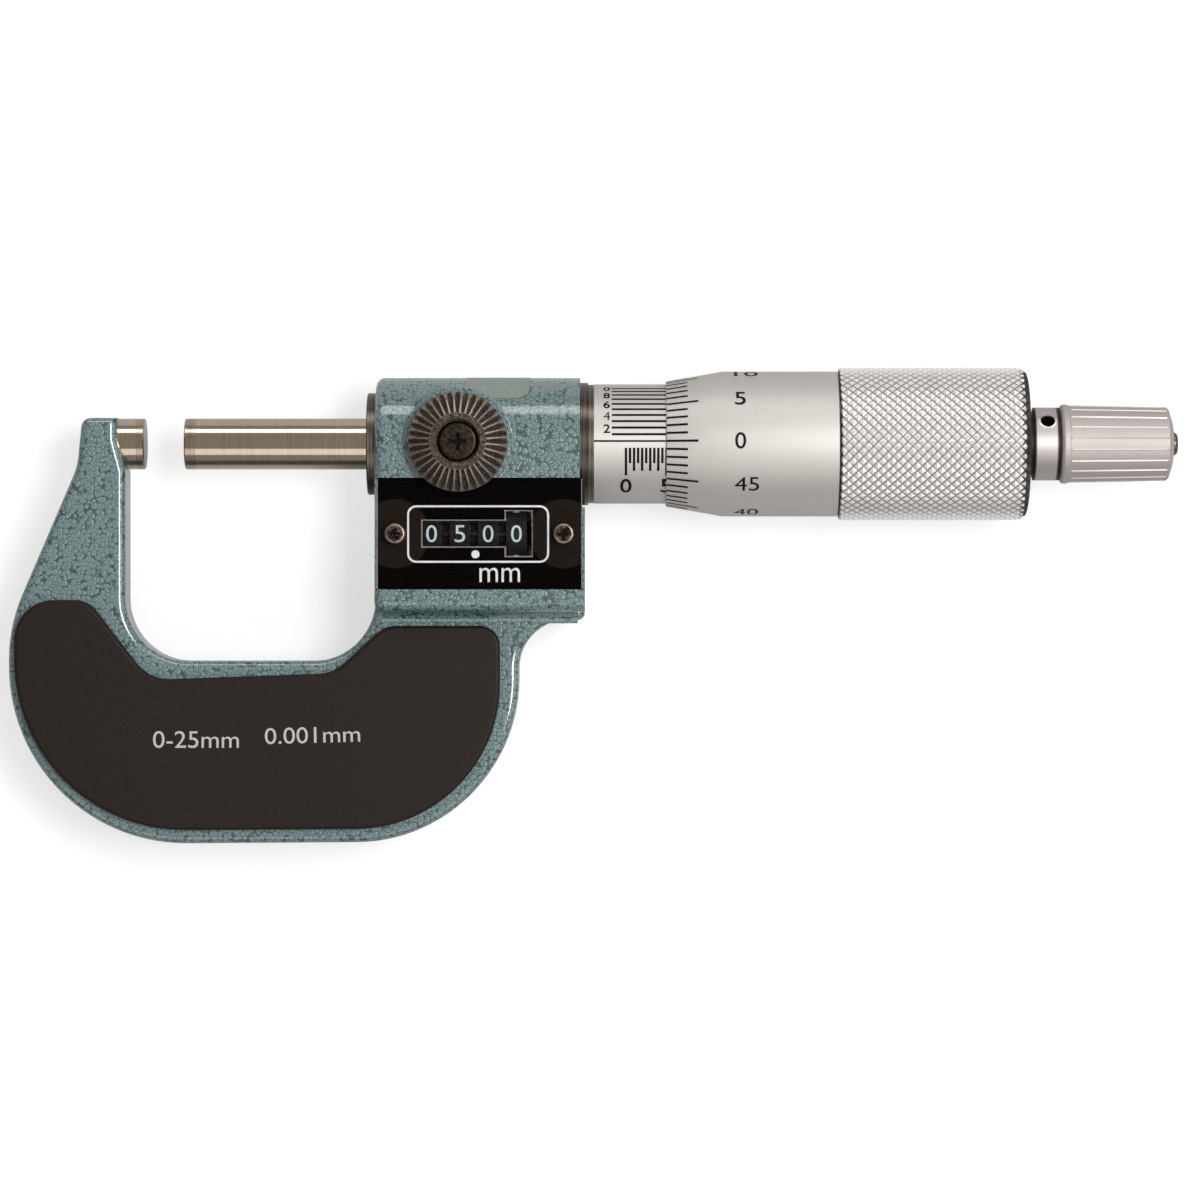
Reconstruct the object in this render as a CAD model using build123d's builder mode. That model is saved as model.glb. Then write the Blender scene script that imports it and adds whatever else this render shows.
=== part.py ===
"""Outside micrometer with a mechanical digit counter, range 0 to 25 mm, held open at 5.00 mm.

Millimetres. The instrument lies on its back. +X runs along the spindle from the anvil to the
ratchet, +Y across the frame towards the spindle side, and +Z out of the front with the counter.
The origin is the centre of the anvil's measuring face.
"""

import os
from math import atan2, cos, hypot, pi, radians, sin, sqrt, tan

from build123d import *

os.makedirs("parts", exist_ok=True)

# Measuring
measuring_range = 25.0
reading = 5.0
spindle_stub = 2.8
measuring_diameter = 6.35
anvil_tip_length = 1.0
spindle_tip_length = 1.4
tip_chamfer = 0.12

# Fits
slide_clearance = 0.03
running_clearance = 0.1
loose_clearance = 0.3
thread_clearance = 0.05

# Frame casting
frame_thickness = 8.5
frame_edge_round = 0.9
arm_face = -2.2
arm_top_face = -3.26
arm_top_height = 3.15
arm_top_width = 4.34
arm_waist = 2.9
arm_waist_width = 6.0
arm_bevel_top = 0.4
arm_bevel_bottom = 3.5
bow_width_left = 14.5
bow_width_bottom = 22.8
bow_shoulder_rise = 4.4
bow_rise = 0.4
bow_round_left = 22.0
bow_round_right = 20.3
bow_shoulder_round = 20.0
arm_waist_round = 8.0
arm_corner_round = 1.2
heel_drop = 1.0
heel_overhang = 8.2
heel_round = 6.0
throat_drop = 6.1
throat_round = 7.8

# Counter housing on the frame
housing_length = 25.4
housing_radius = 8.25
housing_depth = 21.0
housing_corner_round = 1.5
housing_edge_round = 1.1
foot_overhang = 0.6
foot_top = 8.0
web_overlap = 4.0
cove_round = 1.4

# Anvil
anvil_shank_radius = 2.4
anvil_shank_length = 3.0

# Spindle bush
bush_flange_width = 1.1
bush_flange_radius = 6.35
bush_radius = 4.3
bush_length = 7.0

# Counter cover
cover_top = 4.4
cover_height = 13.8
cover_thickness = 1.0
cover_margin = 0.3
mask_thickness = 0.5
window_height = 3.47
window_tall_height = 5.83
window_end_margin = 0.8
cover_screw_inset = 2.3
cover_screw_radius = 0.7
cover_screw_length = 4.0
cover_screw_head_radius = 1.3
cover_screw_head_height = 0.6
small_cross_size = 1.3
small_cross_width = 0.35
small_cross_depth = 0.3

# Counter cavity
cavity_wall = 4.0
cavity_top = 5.0
cavity_bottom = 18.0
cavity_floor = 7.0

# Number wheels
wheel_names = ["tens_wheel", "units_wheel", "tenths_wheel", "hundredths_wheel"]
wheel_end_clearance = 0.9
wheel_spacing = 1.0
input_gear_gap = 0.4
wheel_depth = 11.3
wheel_height = 0.45
wheel_radius = 6.0
rim_wall = 0.9
wheel_web = 0.8
wheel_hub_radius = 1.6
wheel_shaft_radius = 0.6

# Transfer pinions between the number wheels
ring_teeth = 20
transfer_teeth = 6
transfer_distance = 6.8
transfer_drop = 4.4
transfer_width = 0.7
ring_width = 0.8
transfer_shaft_radius = 0.45

# Gears from the spindle to the counter
gear_module = 0.25
drive_teeth = 50
idler_teeth = 16
input_teeth = 10
mesh_clearance = 0.05
gear_width = 1.0
gear_bore_radius = 7.2
gear_inset = 6.3
gear_shoulder_radius = 5.2
gear_shoulder_width = 1.2
gear_hub_radius = 4.2
gear_hub_length = 9.7
key_width = 1.0
key_height = 1.3
key_length = 2.0
keyway_depth = 0.6
idler_axle_radius = 0.5
idler_head_radius = 0.85
idler_head_width = 0.12

# Counter bracket
bracket_sheet = 0.8
bracket_boss_radius = 1.3
bracket_strip_height = 4.8
bracket_strip_thickness = 0.7
bracket_screw_spacing = 11.0
bracket_screw_radius = 0.5
bracket_screw_length = 1.6
bracket_screw_head_radius = 1.0
bracket_screw_head_height = 0.45

# Sleeve
collar_radius = 7.65
collar_width = 1.0
shank_clearance = 0.02
sleeve_ring_radius = 7.4
sleeve_ring_width = 0.75
inner_sleeve_radius = 6.6
sleeve_radius = 7.45
sleeve_run_out = 2.0
zero_line_offset = 3.95
nut_length = 5.0
nut_radius = 7.3
nut_inset = 2.5
nut_notch_width = 1.0
nut_notch_depth = 0.5
slit_count = 3
slit_width = 0.8
slit_length = 11.0
thread_end_radius = 6.0
thread_end_length = 9.5

# Spindle screw
thread_radius = 3.6
thread_bore_length = 13.0
thread_run_out = 1.5

# Thimble
thimble_clearance = 0.1
thimble_edge_radius = 7.8
thimble_radius = 9.05
thimble_cone_length = 7.06
thimble_length = 45.46
grip_length = 23.9
grip_radius = 9.57
grip_chamfer = 0.7
thimble_wall_right = 3.5
closing_reserve = 0.5

# Ratchet
ratchet_neck_width = 0.4
ratchet_neck_radius = 4.0
ratchet_seat_radius = 4.55
ratchet_seat_width = 3.2
spanner_hole_radius = 0.9
spanner_hole_depth = 1.8
spanner_hole_angle = 52.0
stud_radius = 1.8
stud_length = 6.0
spigot_radius = 2.2
spigot_length = 11.0
cap_radius = 4.6
cap_end_radius = 4.35
cap_flange_radius = 4.95
cap_flange_width = 1.1
cap_length = 14.1
cap_end_chamfer = 0.9
cap_ribs = 20
cap_rib_height = 0.14
cap_rib_width = 0.4
cap_rib_inset = 0.9
click_bore_radius = 3.75
click_bore_depth = 2.3
click_teeth = 12
click_tooth_height = 0.5
click_tooth_length = 1.2
click_tooth_width = 0.8
click_pin_radius = 0.5
click_pin_offset = 3.0
click_pin_length = 2.6
click_spring_length = 1.2
click_spring_wire = 0.14
cap_screw_radius = 0.9
cap_screw_length = 6.0
cap_screw_head_radius = 1.45
cap_screw_head_height = 0.55

# Spindle lock
lock_inset = 10.4
lock_boss_radius = 6.85
lock_boss_height = 0.2
lock_boss_round = 0.15
knob_radius = 6.15
knob_height = 3.2
knob_rim_height = 1.3
knob_shoulder_radius = 5.3
knob_shoulder_drop = 0.9
knob_crown_radius = 3.5
knob_recess_radius = 2.75
knob_recess_depth = 1.3
knob_ribs = 36
knob_groove_start_radius = 3.4
knob_groove_start_depth = 0.22
knob_groove_end_height = 1.05
knob_groove_half_angle = 38.0
stem_radius = 1.8
stem_flange_radius = 3.0
stem_flange_height = 0.3
lock_screw_radius = 0.8
lock_screw_length = 2.6
lock_screw_head_radius = 2.5
lock_screw_head_height = 0.95
lock_cross_size = 2.1
lock_cross_width = 0.5
lock_cross_depth = 0.6
pad_thickness = 0.9

# Grip plates
plate_thickness = 1.25
plate_edge_round = 0.5
plate_margin_left = 0.8
plate_margin_bottom = 1.7
plate_margin_right = 2.3
plate_lobe_rise = 7.6
plate_lobe_width = 9.2
plate_lobe_round_left = 5.0
plate_lobe_round_right = 3.5
plate_valley_margin_left = 2.3
plate_valley_margin_right = 1.5
plate_valley_inset_left = 3.1
plate_valley_inset_right = 5.2
plate_valley_round = 5.0
plate_heel_margin = 0.7
plate_heel_inset = 1.2
plate_heel_round_left = 4.0
plate_heel_round_right = 2.5

# Places along the spindle axis
spindle_radius = measuring_diameter / 2
bush_face = measuring_range + spindle_stub
housing_left = bush_face + bush_flange_width
housing_right = housing_left + housing_length
foot_right = housing_right + foot_overhang
gear_bore_left = housing_right - gear_inset
drive_gear_left = gear_bore_left + running_clearance
drive_gear_right = drive_gear_left + gear_width
gear_shoulder_right = drive_gear_right + gear_shoulder_width
gear_hub_right = gear_shoulder_right + gear_hub_length
shank_left = gear_shoulder_right + running_clearance
collar_right = housing_right + collar_width
sleeve_left = collar_right + sleeve_ring_width
zero_line = sleeve_left + zero_line_offset
sleeve_right = zero_line + measuring_range + sleeve_run_out
thimble_left = zero_line + reading
thimble_right = thimble_left + thimble_length
thimble_cavity_right = thimble_right - thimble_wall_right
travel_out = measuring_range - reading
inner_sleeve_right = thimble_cavity_right - reading - closing_reserve
thread_bore_left = inner_sleeve_right - thread_bore_length
ratchet_seat_left = thimble_right + ratchet_neck_width
ratchet_seat_right = ratchet_seat_left + ratchet_seat_width
cap_left = ratchet_seat_right + running_clearance
cap_right = cap_left + cap_length
lock_x = housing_left + lock_inset
left_cheek = housing_left + cavity_wall + running_clearance
right_cheek = gear_shoulder_right - bracket_sheet
first_rim_left = left_cheek + bracket_sheet + wheel_end_clearance
last_rim_right = drive_gear_left - input_gear_gap
wheel_pitch = (last_rim_right - first_rim_left + wheel_spacing) / len(wheel_names)
rim_width = wheel_pitch - wheel_spacing

# Depths below the spindle axis
throat_depth = housing_depth + throat_drop
heel_depth = housing_depth + heel_drop
bow_bottom = throat_depth + bow_width_bottom
bow_shoulder = throat_depth - bow_shoulder_rise
plate_lobe_top = throat_depth - plate_lobe_rise

# Heights above the spindle axis
frame_half = frame_thickness / 2
mask_front = housing_radius - cover_thickness
recess_floor = mask_front - mask_thickness
lock_boss_front = housing_radius + lock_boss_height
knob_back = lock_boss_front + stem_flange_height + running_clearance
pad_back = spindle_radius + slide_clearance
stem_back = pad_back + pad_thickness + running_clearance

# Axes of the counter as (y, z)
spindle_axis = (0.0, 0.0)
wheel_axis = (-wheel_depth, wheel_height)
transfer_back = sqrt(transfer_distance**2 - transfer_drop**2)
transfer_axis = (wheel_axis[0] - transfer_drop, wheel_axis[1] - transfer_back)
drive_reach = gear_module * (drive_teeth + idler_teeth) / 2 + mesh_clearance
input_reach = gear_module * (input_teeth + idler_teeth) / 2 + mesh_clearance
wheel_distance = hypot(*wheel_axis)
idler_along = (wheel_distance**2 + drive_reach**2 - input_reach**2) / (2 * wheel_distance)
idler_aside = sqrt(drive_reach**2 - idler_along**2)
along_y = wheel_axis[0] / wheel_distance
along_z = wheel_axis[1] / wheel_distance
idler_axis = (
    idler_along * along_y + idler_aside * along_z,
    idler_along * along_z + idler_aside * along_y,
)
ring_module = 2 * (transfer_distance - mesh_clearance) / (ring_teeth + transfer_teeth)


def cross_plane(x, centre=spindle_axis):
    """A plane across the spindle at x, centred on (y, z), with its own x along +Y."""
    return Plane(origin=(x, centre[0], centre[1]), x_dir=(0, 1, 0), z_dir=(1, 0, 0))


def axis_through(centre):
    """The axis along X through (y, z)."""
    return Axis((0, centre[0], centre[1]), (1, 0, 0))


def half_section(corners, centre=spindle_axis):
    """A face from (x, radius) corners above the axis along X through (y, z)."""
    with BuildSketch(Plane(origin=(0, centre[0], centre[1]))) as section:
        with BuildLine():
            Polyline(*corners, close=True)
        make_face()
    return section.sketch


def upright_section(corners, centre):
    """A face from (radius, z) corners beside the axis along Z through (x, y)."""
    upright = Plane(origin=(centre[0], centre[1], 0), x_dir=(1, 0, 0), z_dir=(0, -1, 0))
    with BuildSketch(upright) as section:
        with BuildLine():
            Polyline(*corners, close=True)
        make_face()
    return section.sketch


def cross_disc(x, radius, centre=spindle_axis):
    """A round face across the spindle."""
    with BuildSketch(cross_plane(x, centre)) as disc:
        Circle(radius)
    return disc.sketch


def front_disc(z, radius, centre):
    """A round face towards the front at (x, y)."""
    with BuildSketch(Plane(origin=(centre[0], centre[1], z))) as disc:
        Circle(radius)
    return disc.sketch


def front_cross(z, size, width, centre):
    """The cross of a screw head towards the front at (x, y)."""
    with BuildSketch(Plane(origin=(centre[0], centre[1], z))) as cross:
        Rectangle(size, width)
        Rectangle(width, size)
    return cross.sketch


def tooth_corners(teeth, module, first_angle):
    """Corners of straight-sided teeth, with the middle of one at first_angle in radians."""
    pitch_radius = teeth * module / 2
    root_radius = pitch_radius - 1.15 * module
    tip_radius = pitch_radius + 0.85 * module
    pitch_angle = 2 * pi / teeth
    flank = ((root_radius, -0.3), (tip_radius, -0.1), (tip_radius, 0.1), (root_radius, 0.3))
    corners = []
    for tooth in range(teeth):
        for radius, share in flank:
            angle = first_angle + (tooth + share) * pitch_angle
            corners.append((radius * cos(angle), radius * sin(angle)))
    return corners


def gear_face(x, centre, teeth, module, first_angle):
    """A toothed face across the spindle."""
    with BuildSketch(cross_plane(x, centre)) as gear:
        with BuildLine():
            Polyline(*tooth_corners(teeth, module, first_angle), close=True)
        make_face()
    return gear.sketch


def meshed_angle(centre, teeth, first_angle, mate_centre, mate_teeth):
    """The mate's first tooth angle in radians, with its teeth in this gear's gaps."""
    line_angle = atan2(mate_centre[1] - centre[1], mate_centre[0] - centre[0])
    phase = (line_angle - first_angle) * teeth / (2 * pi)
    return line_angle + pi - (0.5 - phase) * 2 * pi / mate_teeth


def save(piece, name):
    """Name a finished piece and write it out."""
    piece.part.label = name
    export_step(piece.part, f"parts/{name}.step")


# Frame with the counter housing, one casting
bow_left = arm_face - bow_width_left
bow_right = foot_right - heel_overhang
arm_top_left = arm_top_face - arm_top_width
arm_left = arm_face - arm_waist_width
web_top = -housing_depth + web_overlap
anvil_hole_left = arm_top_face - anvil_shank_length

bow_corners = [
    ((arm_top_face, arm_top_height), 0.0),
    ((arm_top_left, arm_top_height), arm_corner_round),
    ((arm_left, -arm_waist), arm_waist_round),
    ((bow_left, -bow_shoulder), bow_shoulder_round),
    ((bow_left, -bow_bottom), bow_round_left),
    ((bow_right, -bow_bottom + bow_rise), bow_round_right),
    ((bow_right, -heel_depth), heel_round),
    ((foot_right, -heel_depth), frame_edge_round),
    ((foot_right, web_top), 0.0),
    ((housing_left, web_top), 0.0),
    ((housing_left, -throat_depth), throat_round),
    ((arm_face, -throat_depth), throat_round),
    ((arm_face, -arm_bevel_bottom), 0.0),
    ((arm_top_face, arm_bevel_top), 0.0),
]

cavity_left = housing_left + cavity_wall
cavity_right = foot_right - cavity_wall
cavity_middle = (cavity_left + cavity_right) / 2
cover_left = housing_left + cover_margin
cover_right = foot_right - cover_margin
cover_middle = (cover_left + cover_right) / 2
cover_bottom = -cover_top - cover_height
cover_screw_places = [
    (cover_left + cover_screw_inset, wheel_axis[0]),
    (cover_right - cover_screw_inset, wheel_axis[0]),
]
bracket_screw_places = [
    (cavity_middle + side * bracket_screw_spacing / 2, -cavity_top - bracket_strip_height / 2)
    for side in (-1, 1)
]

with BuildPart() as frame:
    with BuildSketch(Plane.XY.offset(-frame_half)):
        with BuildLine():
            FilletPolyline(
                *[corner for corner, radius in bow_corners],
                radius=[radius for corner, radius in bow_corners],
                close=True,
            )
        make_face()
    extrude(amount=frame_thickness)
    bow_edges = frame.edges().filter_by(Plane.XY)
    bow_edges = bow_edges.filter_by(
        lambda edge: edge.center().Y < web_top - frame_edge_round
        or edge.center().X < housing_left - throat_round
    )
    fillet(bow_edges, frame_edge_round)
    # A round barrel over a flat-sided box
    with BuildSketch(cross_plane(housing_left)) as housing_section:
        Circle(housing_radius)
        with Locations((-housing_depth / 2, 0)):
            Rectangle(housing_depth, 2 * housing_radius)
        fillet(housing_section.vertices().group_by(Axis.X)[0], housing_corner_round)
    extrude(amount=housing_length)
    with BuildSketch(cross_plane(housing_right)) as foot_section:
        with Locations((-(housing_depth + foot_top) / 2, 0)):
            Rectangle(housing_depth - foot_top, 2 * housing_radius)
        fillet(foot_section.vertices().group_by(Axis.X)[0], housing_corner_round)
    extrude(amount=foot_overhang)
    # Pad under the lock knob
    extrude(front_disc(pad_back, lock_boss_radius, (lock_x, 0)), amount=lock_boss_front - pad_back)
    fillet(frame.edges().group_by(Axis.Z)[-1], lock_boss_round)
    # Hollow corners where the box meets the web
    for side in (1, -1):
        with BuildSketch(cross_plane(housing_left + housing_edge_round)):
            with Locations((-housing_depth - cove_round / 2, side * (frame_half + cove_round / 2))):
                Rectangle(cove_round, cove_round)
            with Locations((-housing_depth - cove_round, side * (frame_half + cove_round))):
                Circle(cove_round, mode=Mode.SUBTRACT)
        extrude(amount=foot_right - frame_edge_round - housing_left - housing_edge_round)
    # Rounded end of the barrel towards the anvil
    barrel_end = frame.edges().filter_by(GeomType.CIRCLE).filter_by(
        lambda edge: abs(edge.center().X - housing_left) < slide_clearance
        and abs(edge.radius - housing_radius) < slide_clearance
    )
    fillet(barrel_end, housing_edge_round)
    # Bores along the spindle
    extrude(
        cross_disc(gear_bore_left, gear_bore_radius),
        amount=gear_inset + foot_overhang,
        mode=Mode.SUBTRACT,
    )
    extrude(
        cross_disc(housing_left, spindle_radius + running_clearance),
        amount=housing_length,
        mode=Mode.SUBTRACT,
    )
    extrude(
        cross_disc(housing_left, bush_radius + shank_clearance),
        amount=bush_length,
        mode=Mode.SUBTRACT,
    )
    # Anvil hole, and the step that the anvil's head stands in
    extrude(
        cross_disc(anvil_hole_left, anvil_shank_radius + shank_clearance),
        amount=anvil_shank_length,
        mode=Mode.SUBTRACT,
    )
    extrude(
        cross_disc(arm_top_face, spindle_radius + slide_clearance),
        amount=-arm_top_face,
        mode=Mode.SUBTRACT,
    )
    # Recess for the counter's cover, across the whole front
    with BuildSketch(Plane.XY.offset(recess_floor)):
        with Locations(((housing_left + foot_right) / 2, (cover_bottom - cover_top) / 2)):
            Rectangle(2 * (foot_right - housing_left), cover_height)
    extrude(amount=2 * housing_radius, mode=Mode.SUBTRACT)
    # Counter cavity
    with BuildSketch(Plane.XY.offset(-cavity_floor)):
        with Locations((cavity_middle, -(cavity_top + cavity_bottom) / 2)):
            Rectangle(cavity_right - cavity_left, cavity_bottom - cavity_top)
    extrude(amount=2 * housing_radius, mode=Mode.SUBTRACT)
    # Lock stem's hole, and holes for the cover's and the bracket's screws
    extrude(
        front_disc(0, stem_radius + running_clearance, (lock_x, 0)),
        amount=2 * housing_radius,
        mode=Mode.SUBTRACT,
    )
    for place in cover_screw_places:
        extrude(
            front_disc(housing_radius, cover_screw_radius + thread_clearance, place),
            amount=-cover_screw_length - running_clearance,
            mode=Mode.SUBTRACT,
        )
    for place in bracket_screw_places:
        extrude(
            front_disc(-cavity_floor, bracket_screw_radius + thread_clearance, place),
            amount=bracket_strip_thickness - bracket_screw_length - running_clearance,
            mode=Mode.SUBTRACT,
        )
save(frame, "frame")

# Anvil and its hard tip
with BuildPart() as anvil:
    revolve(
        half_section(
            [
                (anvil_hole_left + running_clearance, 0),
                (anvil_hole_left + running_clearance, anvil_shank_radius),
                (arm_top_face, anvil_shank_radius),
                (arm_top_face, spindle_radius),
                (-anvil_tip_length, spindle_radius),
                (-anvil_tip_length, 0),
            ]
        ),
        axis=Axis.X,
    )
save(anvil, "anvil")

with BuildPart() as anvil_tip:
    extrude(cross_disc(-anvil_tip_length, spindle_radius), amount=anvil_tip_length)
    chamfer(anvil_tip.edges().group_by(Axis.X)[-1], tip_chamfer)
save(anvil_tip, "anvil_tip")


# Grip plates, which keep the hand's warmth off the frame
plate_left = bow_left + plate_margin_left
plate_right = bow_right - plate_margin_right
plate_bottom = -bow_bottom + plate_margin_bottom
plate_heel_top = -heel_depth - plate_heel_margin
plate_corners = [
    ((plate_left, -plate_lobe_top), plate_lobe_round_left),
    ((plate_left + plate_lobe_width, -plate_lobe_top), plate_lobe_round_right),
    (
        (arm_face + plate_valley_inset_left, -throat_depth - plate_valley_margin_left),
        plate_valley_round,
    ),
    (
        (housing_left - plate_valley_inset_right, -throat_depth - plate_valley_margin_right),
        plate_valley_round,
    ),
    ((housing_left + plate_heel_inset, plate_heel_top), plate_heel_round_left),
    ((plate_right, plate_heel_top), plate_heel_round_right),
    ((plate_right, plate_bottom + bow_rise), bow_round_right - plate_margin_right),
    ((plate_left, plate_bottom), bow_round_left - plate_margin_left),
]

for plate_name, side in (("front_grip_plate", 1), ("rear_grip_plate", -1)):
    with BuildPart() as grip_plate:
        with BuildSketch(Plane.XY.offset(side * frame_half)):
            with BuildLine():
                FilletPolyline(
                    *[corner for corner, radius in plate_corners],
                    radius=[radius for corner, radius in plate_corners],
                    close=True,
                )
            make_face()
        extrude(amount=side * plate_thickness)
        outer_face = grip_plate.faces().sort_by(Axis.Z)[-1 if side > 0 else 0]
        fillet(outer_face.edges(), plate_edge_round)
    save(grip_plate, plate_name)

# Bush that guides the spindle
with BuildPart() as spindle_bush:
    revolve(
        half_section(
            [
                (bush_face, spindle_radius + slide_clearance),
                (bush_face, bush_flange_radius),
                (housing_left, bush_flange_radius),
                (housing_left, bush_radius),
                (housing_left + bush_length - running_clearance, bush_radius),
                (housing_left + bush_length - running_clearance, spindle_radius + slide_clearance),
            ]
        ),
        axis=Axis.X,
    )
    flange_rim = spindle_bush.edges().filter_by(GeomType.CIRCLE).sort_by(SortBy.RADIUS)[-2:]
    chamfer(flange_rim.sort_by(Axis.X)[0], tip_chamfer)
save(spindle_bush, "spindle_bush")


# Counter cover: a printed mask behind a clear window plate, held by two screws
window_right = last_rim_right + window_end_margin


def cover_face(z):
    """The outline shared by the mask and the window plate, with its screw holes."""
    with BuildSketch(Plane.XY.offset(z)) as cover:
        with Locations((cover_middle, (cover_bottom - cover_top) / 2)):
            Rectangle(cover_right - cover_left, cover_height - thread_clearance)
        with Locations(*cover_screw_places):
            Circle(cover_screw_radius + thread_clearance, mode=Mode.SUBTRACT)
    return cover.sketch


with BuildPart() as dial_mask:
    extrude(cover_face(recess_floor), amount=mask_thickness)
    with BuildSketch(Plane.XY.offset(recess_floor)):
        with Locations(((first_rim_left + window_right) / 2, wheel_axis[0])):
            Rectangle(window_right - first_rim_left, window_height)
        with Locations((window_right - wheel_pitch / 2, wheel_axis[0])):
            Rectangle(wheel_pitch, window_tall_height)
    extrude(amount=mask_thickness, mode=Mode.SUBTRACT)
save(dial_mask, "dial_mask")

with BuildPart() as window_plate:
    extrude(cover_face(mask_front), amount=cover_thickness)
save(window_plate, "window_plate")

with BuildPart() as cover_screws:
    for place in cover_screw_places:
        extrude(front_disc(housing_radius, cover_screw_radius, place), amount=-cover_screw_length)
        extrude(
            front_disc(housing_radius, cover_screw_head_radius, place),
            amount=cover_screw_head_height,
        )
    head_rims = cover_screws.edges().filter_by(GeomType.CIRCLE).group_by(Axis.Z)[-1]
    fillet(head_rims, cover_screw_head_height / 2)
    for place in cover_screw_places:
        extrude(
            front_cross(
                housing_radius + cover_screw_head_height,
                small_cross_size,
                small_cross_width,
                place,
            ),
            amount=-small_cross_depth,
            mode=Mode.SUBTRACT,
        )
save(cover_screws, "cover_screws")

# Counter bracket, a folded sheet that carries the counter's shafts
strip_middle = (-cavity_top - running_clearance - bracket_strip_height / 2, -cavity_floor)
strip_centre_z = -cavity_floor + bracket_strip_thickness / 2

with BuildPart() as counter_bracket:
    for cheek_left, carries_idler in ((left_cheek, False), (right_cheek, True)):
        bosses = [wheel_axis, transfer_axis]
        if carries_idler:
            bosses.append(idler_axis)
        with BuildSketch(cross_plane(cheek_left)):
            with Locations((strip_middle[0], strip_centre_z)):
                Rectangle(bracket_strip_height, bracket_strip_thickness)
            with Locations(*bosses):
                Circle(bracket_boss_radius)
            make_hull()
        extrude(amount=bracket_sheet)
    with BuildSketch(Plane.XY.offset(-cavity_floor)):
        with Locations(((left_cheek + gear_shoulder_right) / 2, strip_middle[0])):
            Rectangle(gear_shoulder_right - left_cheek, bracket_strip_height)
    extrude(amount=bracket_strip_thickness)
    for place in bracket_screw_places:
        extrude(
            front_disc(-cavity_floor, bracket_screw_radius + thread_clearance, place),
            amount=bracket_strip_thickness,
            mode=Mode.SUBTRACT,
        )
    for centre, radius in (
        (wheel_axis, wheel_shaft_radius),
        (transfer_axis, transfer_shaft_radius),
    ):
        extrude(
            cross_disc(left_cheek, radius + shank_clearance, centre),
            amount=gear_shoulder_right - left_cheek,
            mode=Mode.SUBTRACT,
        )
    extrude(
        cross_disc(right_cheek, idler_axle_radius + shank_clearance, idler_axis),
        amount=bracket_sheet,
        mode=Mode.SUBTRACT,
    )
save(counter_bracket, "counter_bracket")

with BuildPart() as bracket_screws:
    strip_front = -cavity_floor + bracket_strip_thickness
    for place in bracket_screw_places:
        extrude(front_disc(strip_front, bracket_screw_radius, place), amount=-bracket_screw_length)
        extrude(
            front_disc(strip_front, bracket_screw_head_radius, place),
            amount=bracket_screw_head_height,
        )
save(bracket_screws, "bracket_screws")

with BuildPart() as wheel_shaft:
    extrude(
        cross_disc(left_cheek, wheel_shaft_radius, wheel_axis),
        amount=gear_shoulder_right - left_cheek,
    )
save(wheel_shaft, "wheel_shaft")

with BuildPart() as transfer_shaft:
    extrude(
        cross_disc(left_cheek, transfer_shaft_radius, transfer_axis),
        amount=gear_shoulder_right - left_cheek,
    )
save(transfer_shaft, "transfer_shaft")

with BuildPart() as idler_axle:
    extrude(
        cross_disc(drive_gear_left, idler_axle_radius, idler_axis),
        amount=gear_shoulder_right - drive_gear_left,
    )
    extrude(
        cross_disc(drive_gear_left, idler_head_radius, idler_axis),
        amount=-idler_head_width,
    )
save(idler_axle, "idler_axle")

# Number wheels, each a rim on a web with a toothed ring on its right side
ring_angle = 0.0
transfer_angle = meshed_angle(wheel_axis, ring_teeth, ring_angle, transfer_axis, transfer_teeth)
wheel_bore = wheel_shaft_radius + slide_clearance
ring_bore = ring_module * ring_teeth / 2 - 2 * ring_module
rim_inner = wheel_radius - rim_wall
last_wheel = len(wheel_names) - 1

for index, wheel_name in enumerate(wheel_names):
    rim_left = first_rim_left + index * wheel_pitch
    rim_right = rim_left + rim_width
    hub_right = drive_gear_left if index == last_wheel else rim_right + ring_width
    with BuildPart() as wheel:
        revolve(
            half_section(
                [
                    (rim_left, wheel_bore),
                    (rim_left, wheel_hub_radius),
                    (rim_right - wheel_web, wheel_hub_radius),
                    (rim_right - wheel_web, rim_inner),
                    (rim_left, rim_inner),
                    (rim_left, wheel_radius),
                    (rim_right, wheel_radius),
                    (rim_right, wheel_hub_radius),
                    (hub_right, wheel_hub_radius),
                    (hub_right, wheel_bore),
                ],
                wheel_axis,
            ),
            axis=axis_through(wheel_axis),
        )
        if index < last_wheel:
            extrude(
                gear_face(rim_right, wheel_axis, ring_teeth, ring_module, ring_angle),
                amount=ring_width,
            )
            extrude(
                cross_disc(rim_right, ring_bore, wheel_axis),
                amount=ring_width,
                mode=Mode.SUBTRACT,
            )
            extrude(
                cross_disc(rim_right, wheel_hub_radius, wheel_axis),
                amount=ring_width,
            )
            extrude(
                cross_disc(rim_left, wheel_bore, wheel_axis),
                amount=hub_right - rim_left,
                mode=Mode.SUBTRACT,
            )
    save(wheel, wheel_name)

# Transfer pinions, in mesh with the toothed rings
for index in range(last_wheel):
    ring_left = first_rim_left + index * wheel_pitch + rim_width
    pinion_left = ring_left + (ring_width - transfer_width) / 2
    with BuildPart() as transfer_pinion:
        extrude(
            gear_face(pinion_left, transfer_axis, transfer_teeth, ring_module, transfer_angle),
            amount=transfer_width,
        )
        extrude(
            cross_disc(pinion_left, transfer_shaft_radius + slide_clearance, transfer_axis),
            amount=transfer_width,
            mode=Mode.SUBTRACT,
        )
    save(transfer_pinion, f"transfer_pinion_{index + 1}")

# Gears from the spindle to the first number wheel
drive_angle = 0.0
idler_angle = meshed_angle(spindle_axis, drive_teeth, drive_angle, idler_axis, idler_teeth)
input_angle = meshed_angle(idler_axis, idler_teeth, idler_angle, wheel_axis, input_teeth)

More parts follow.
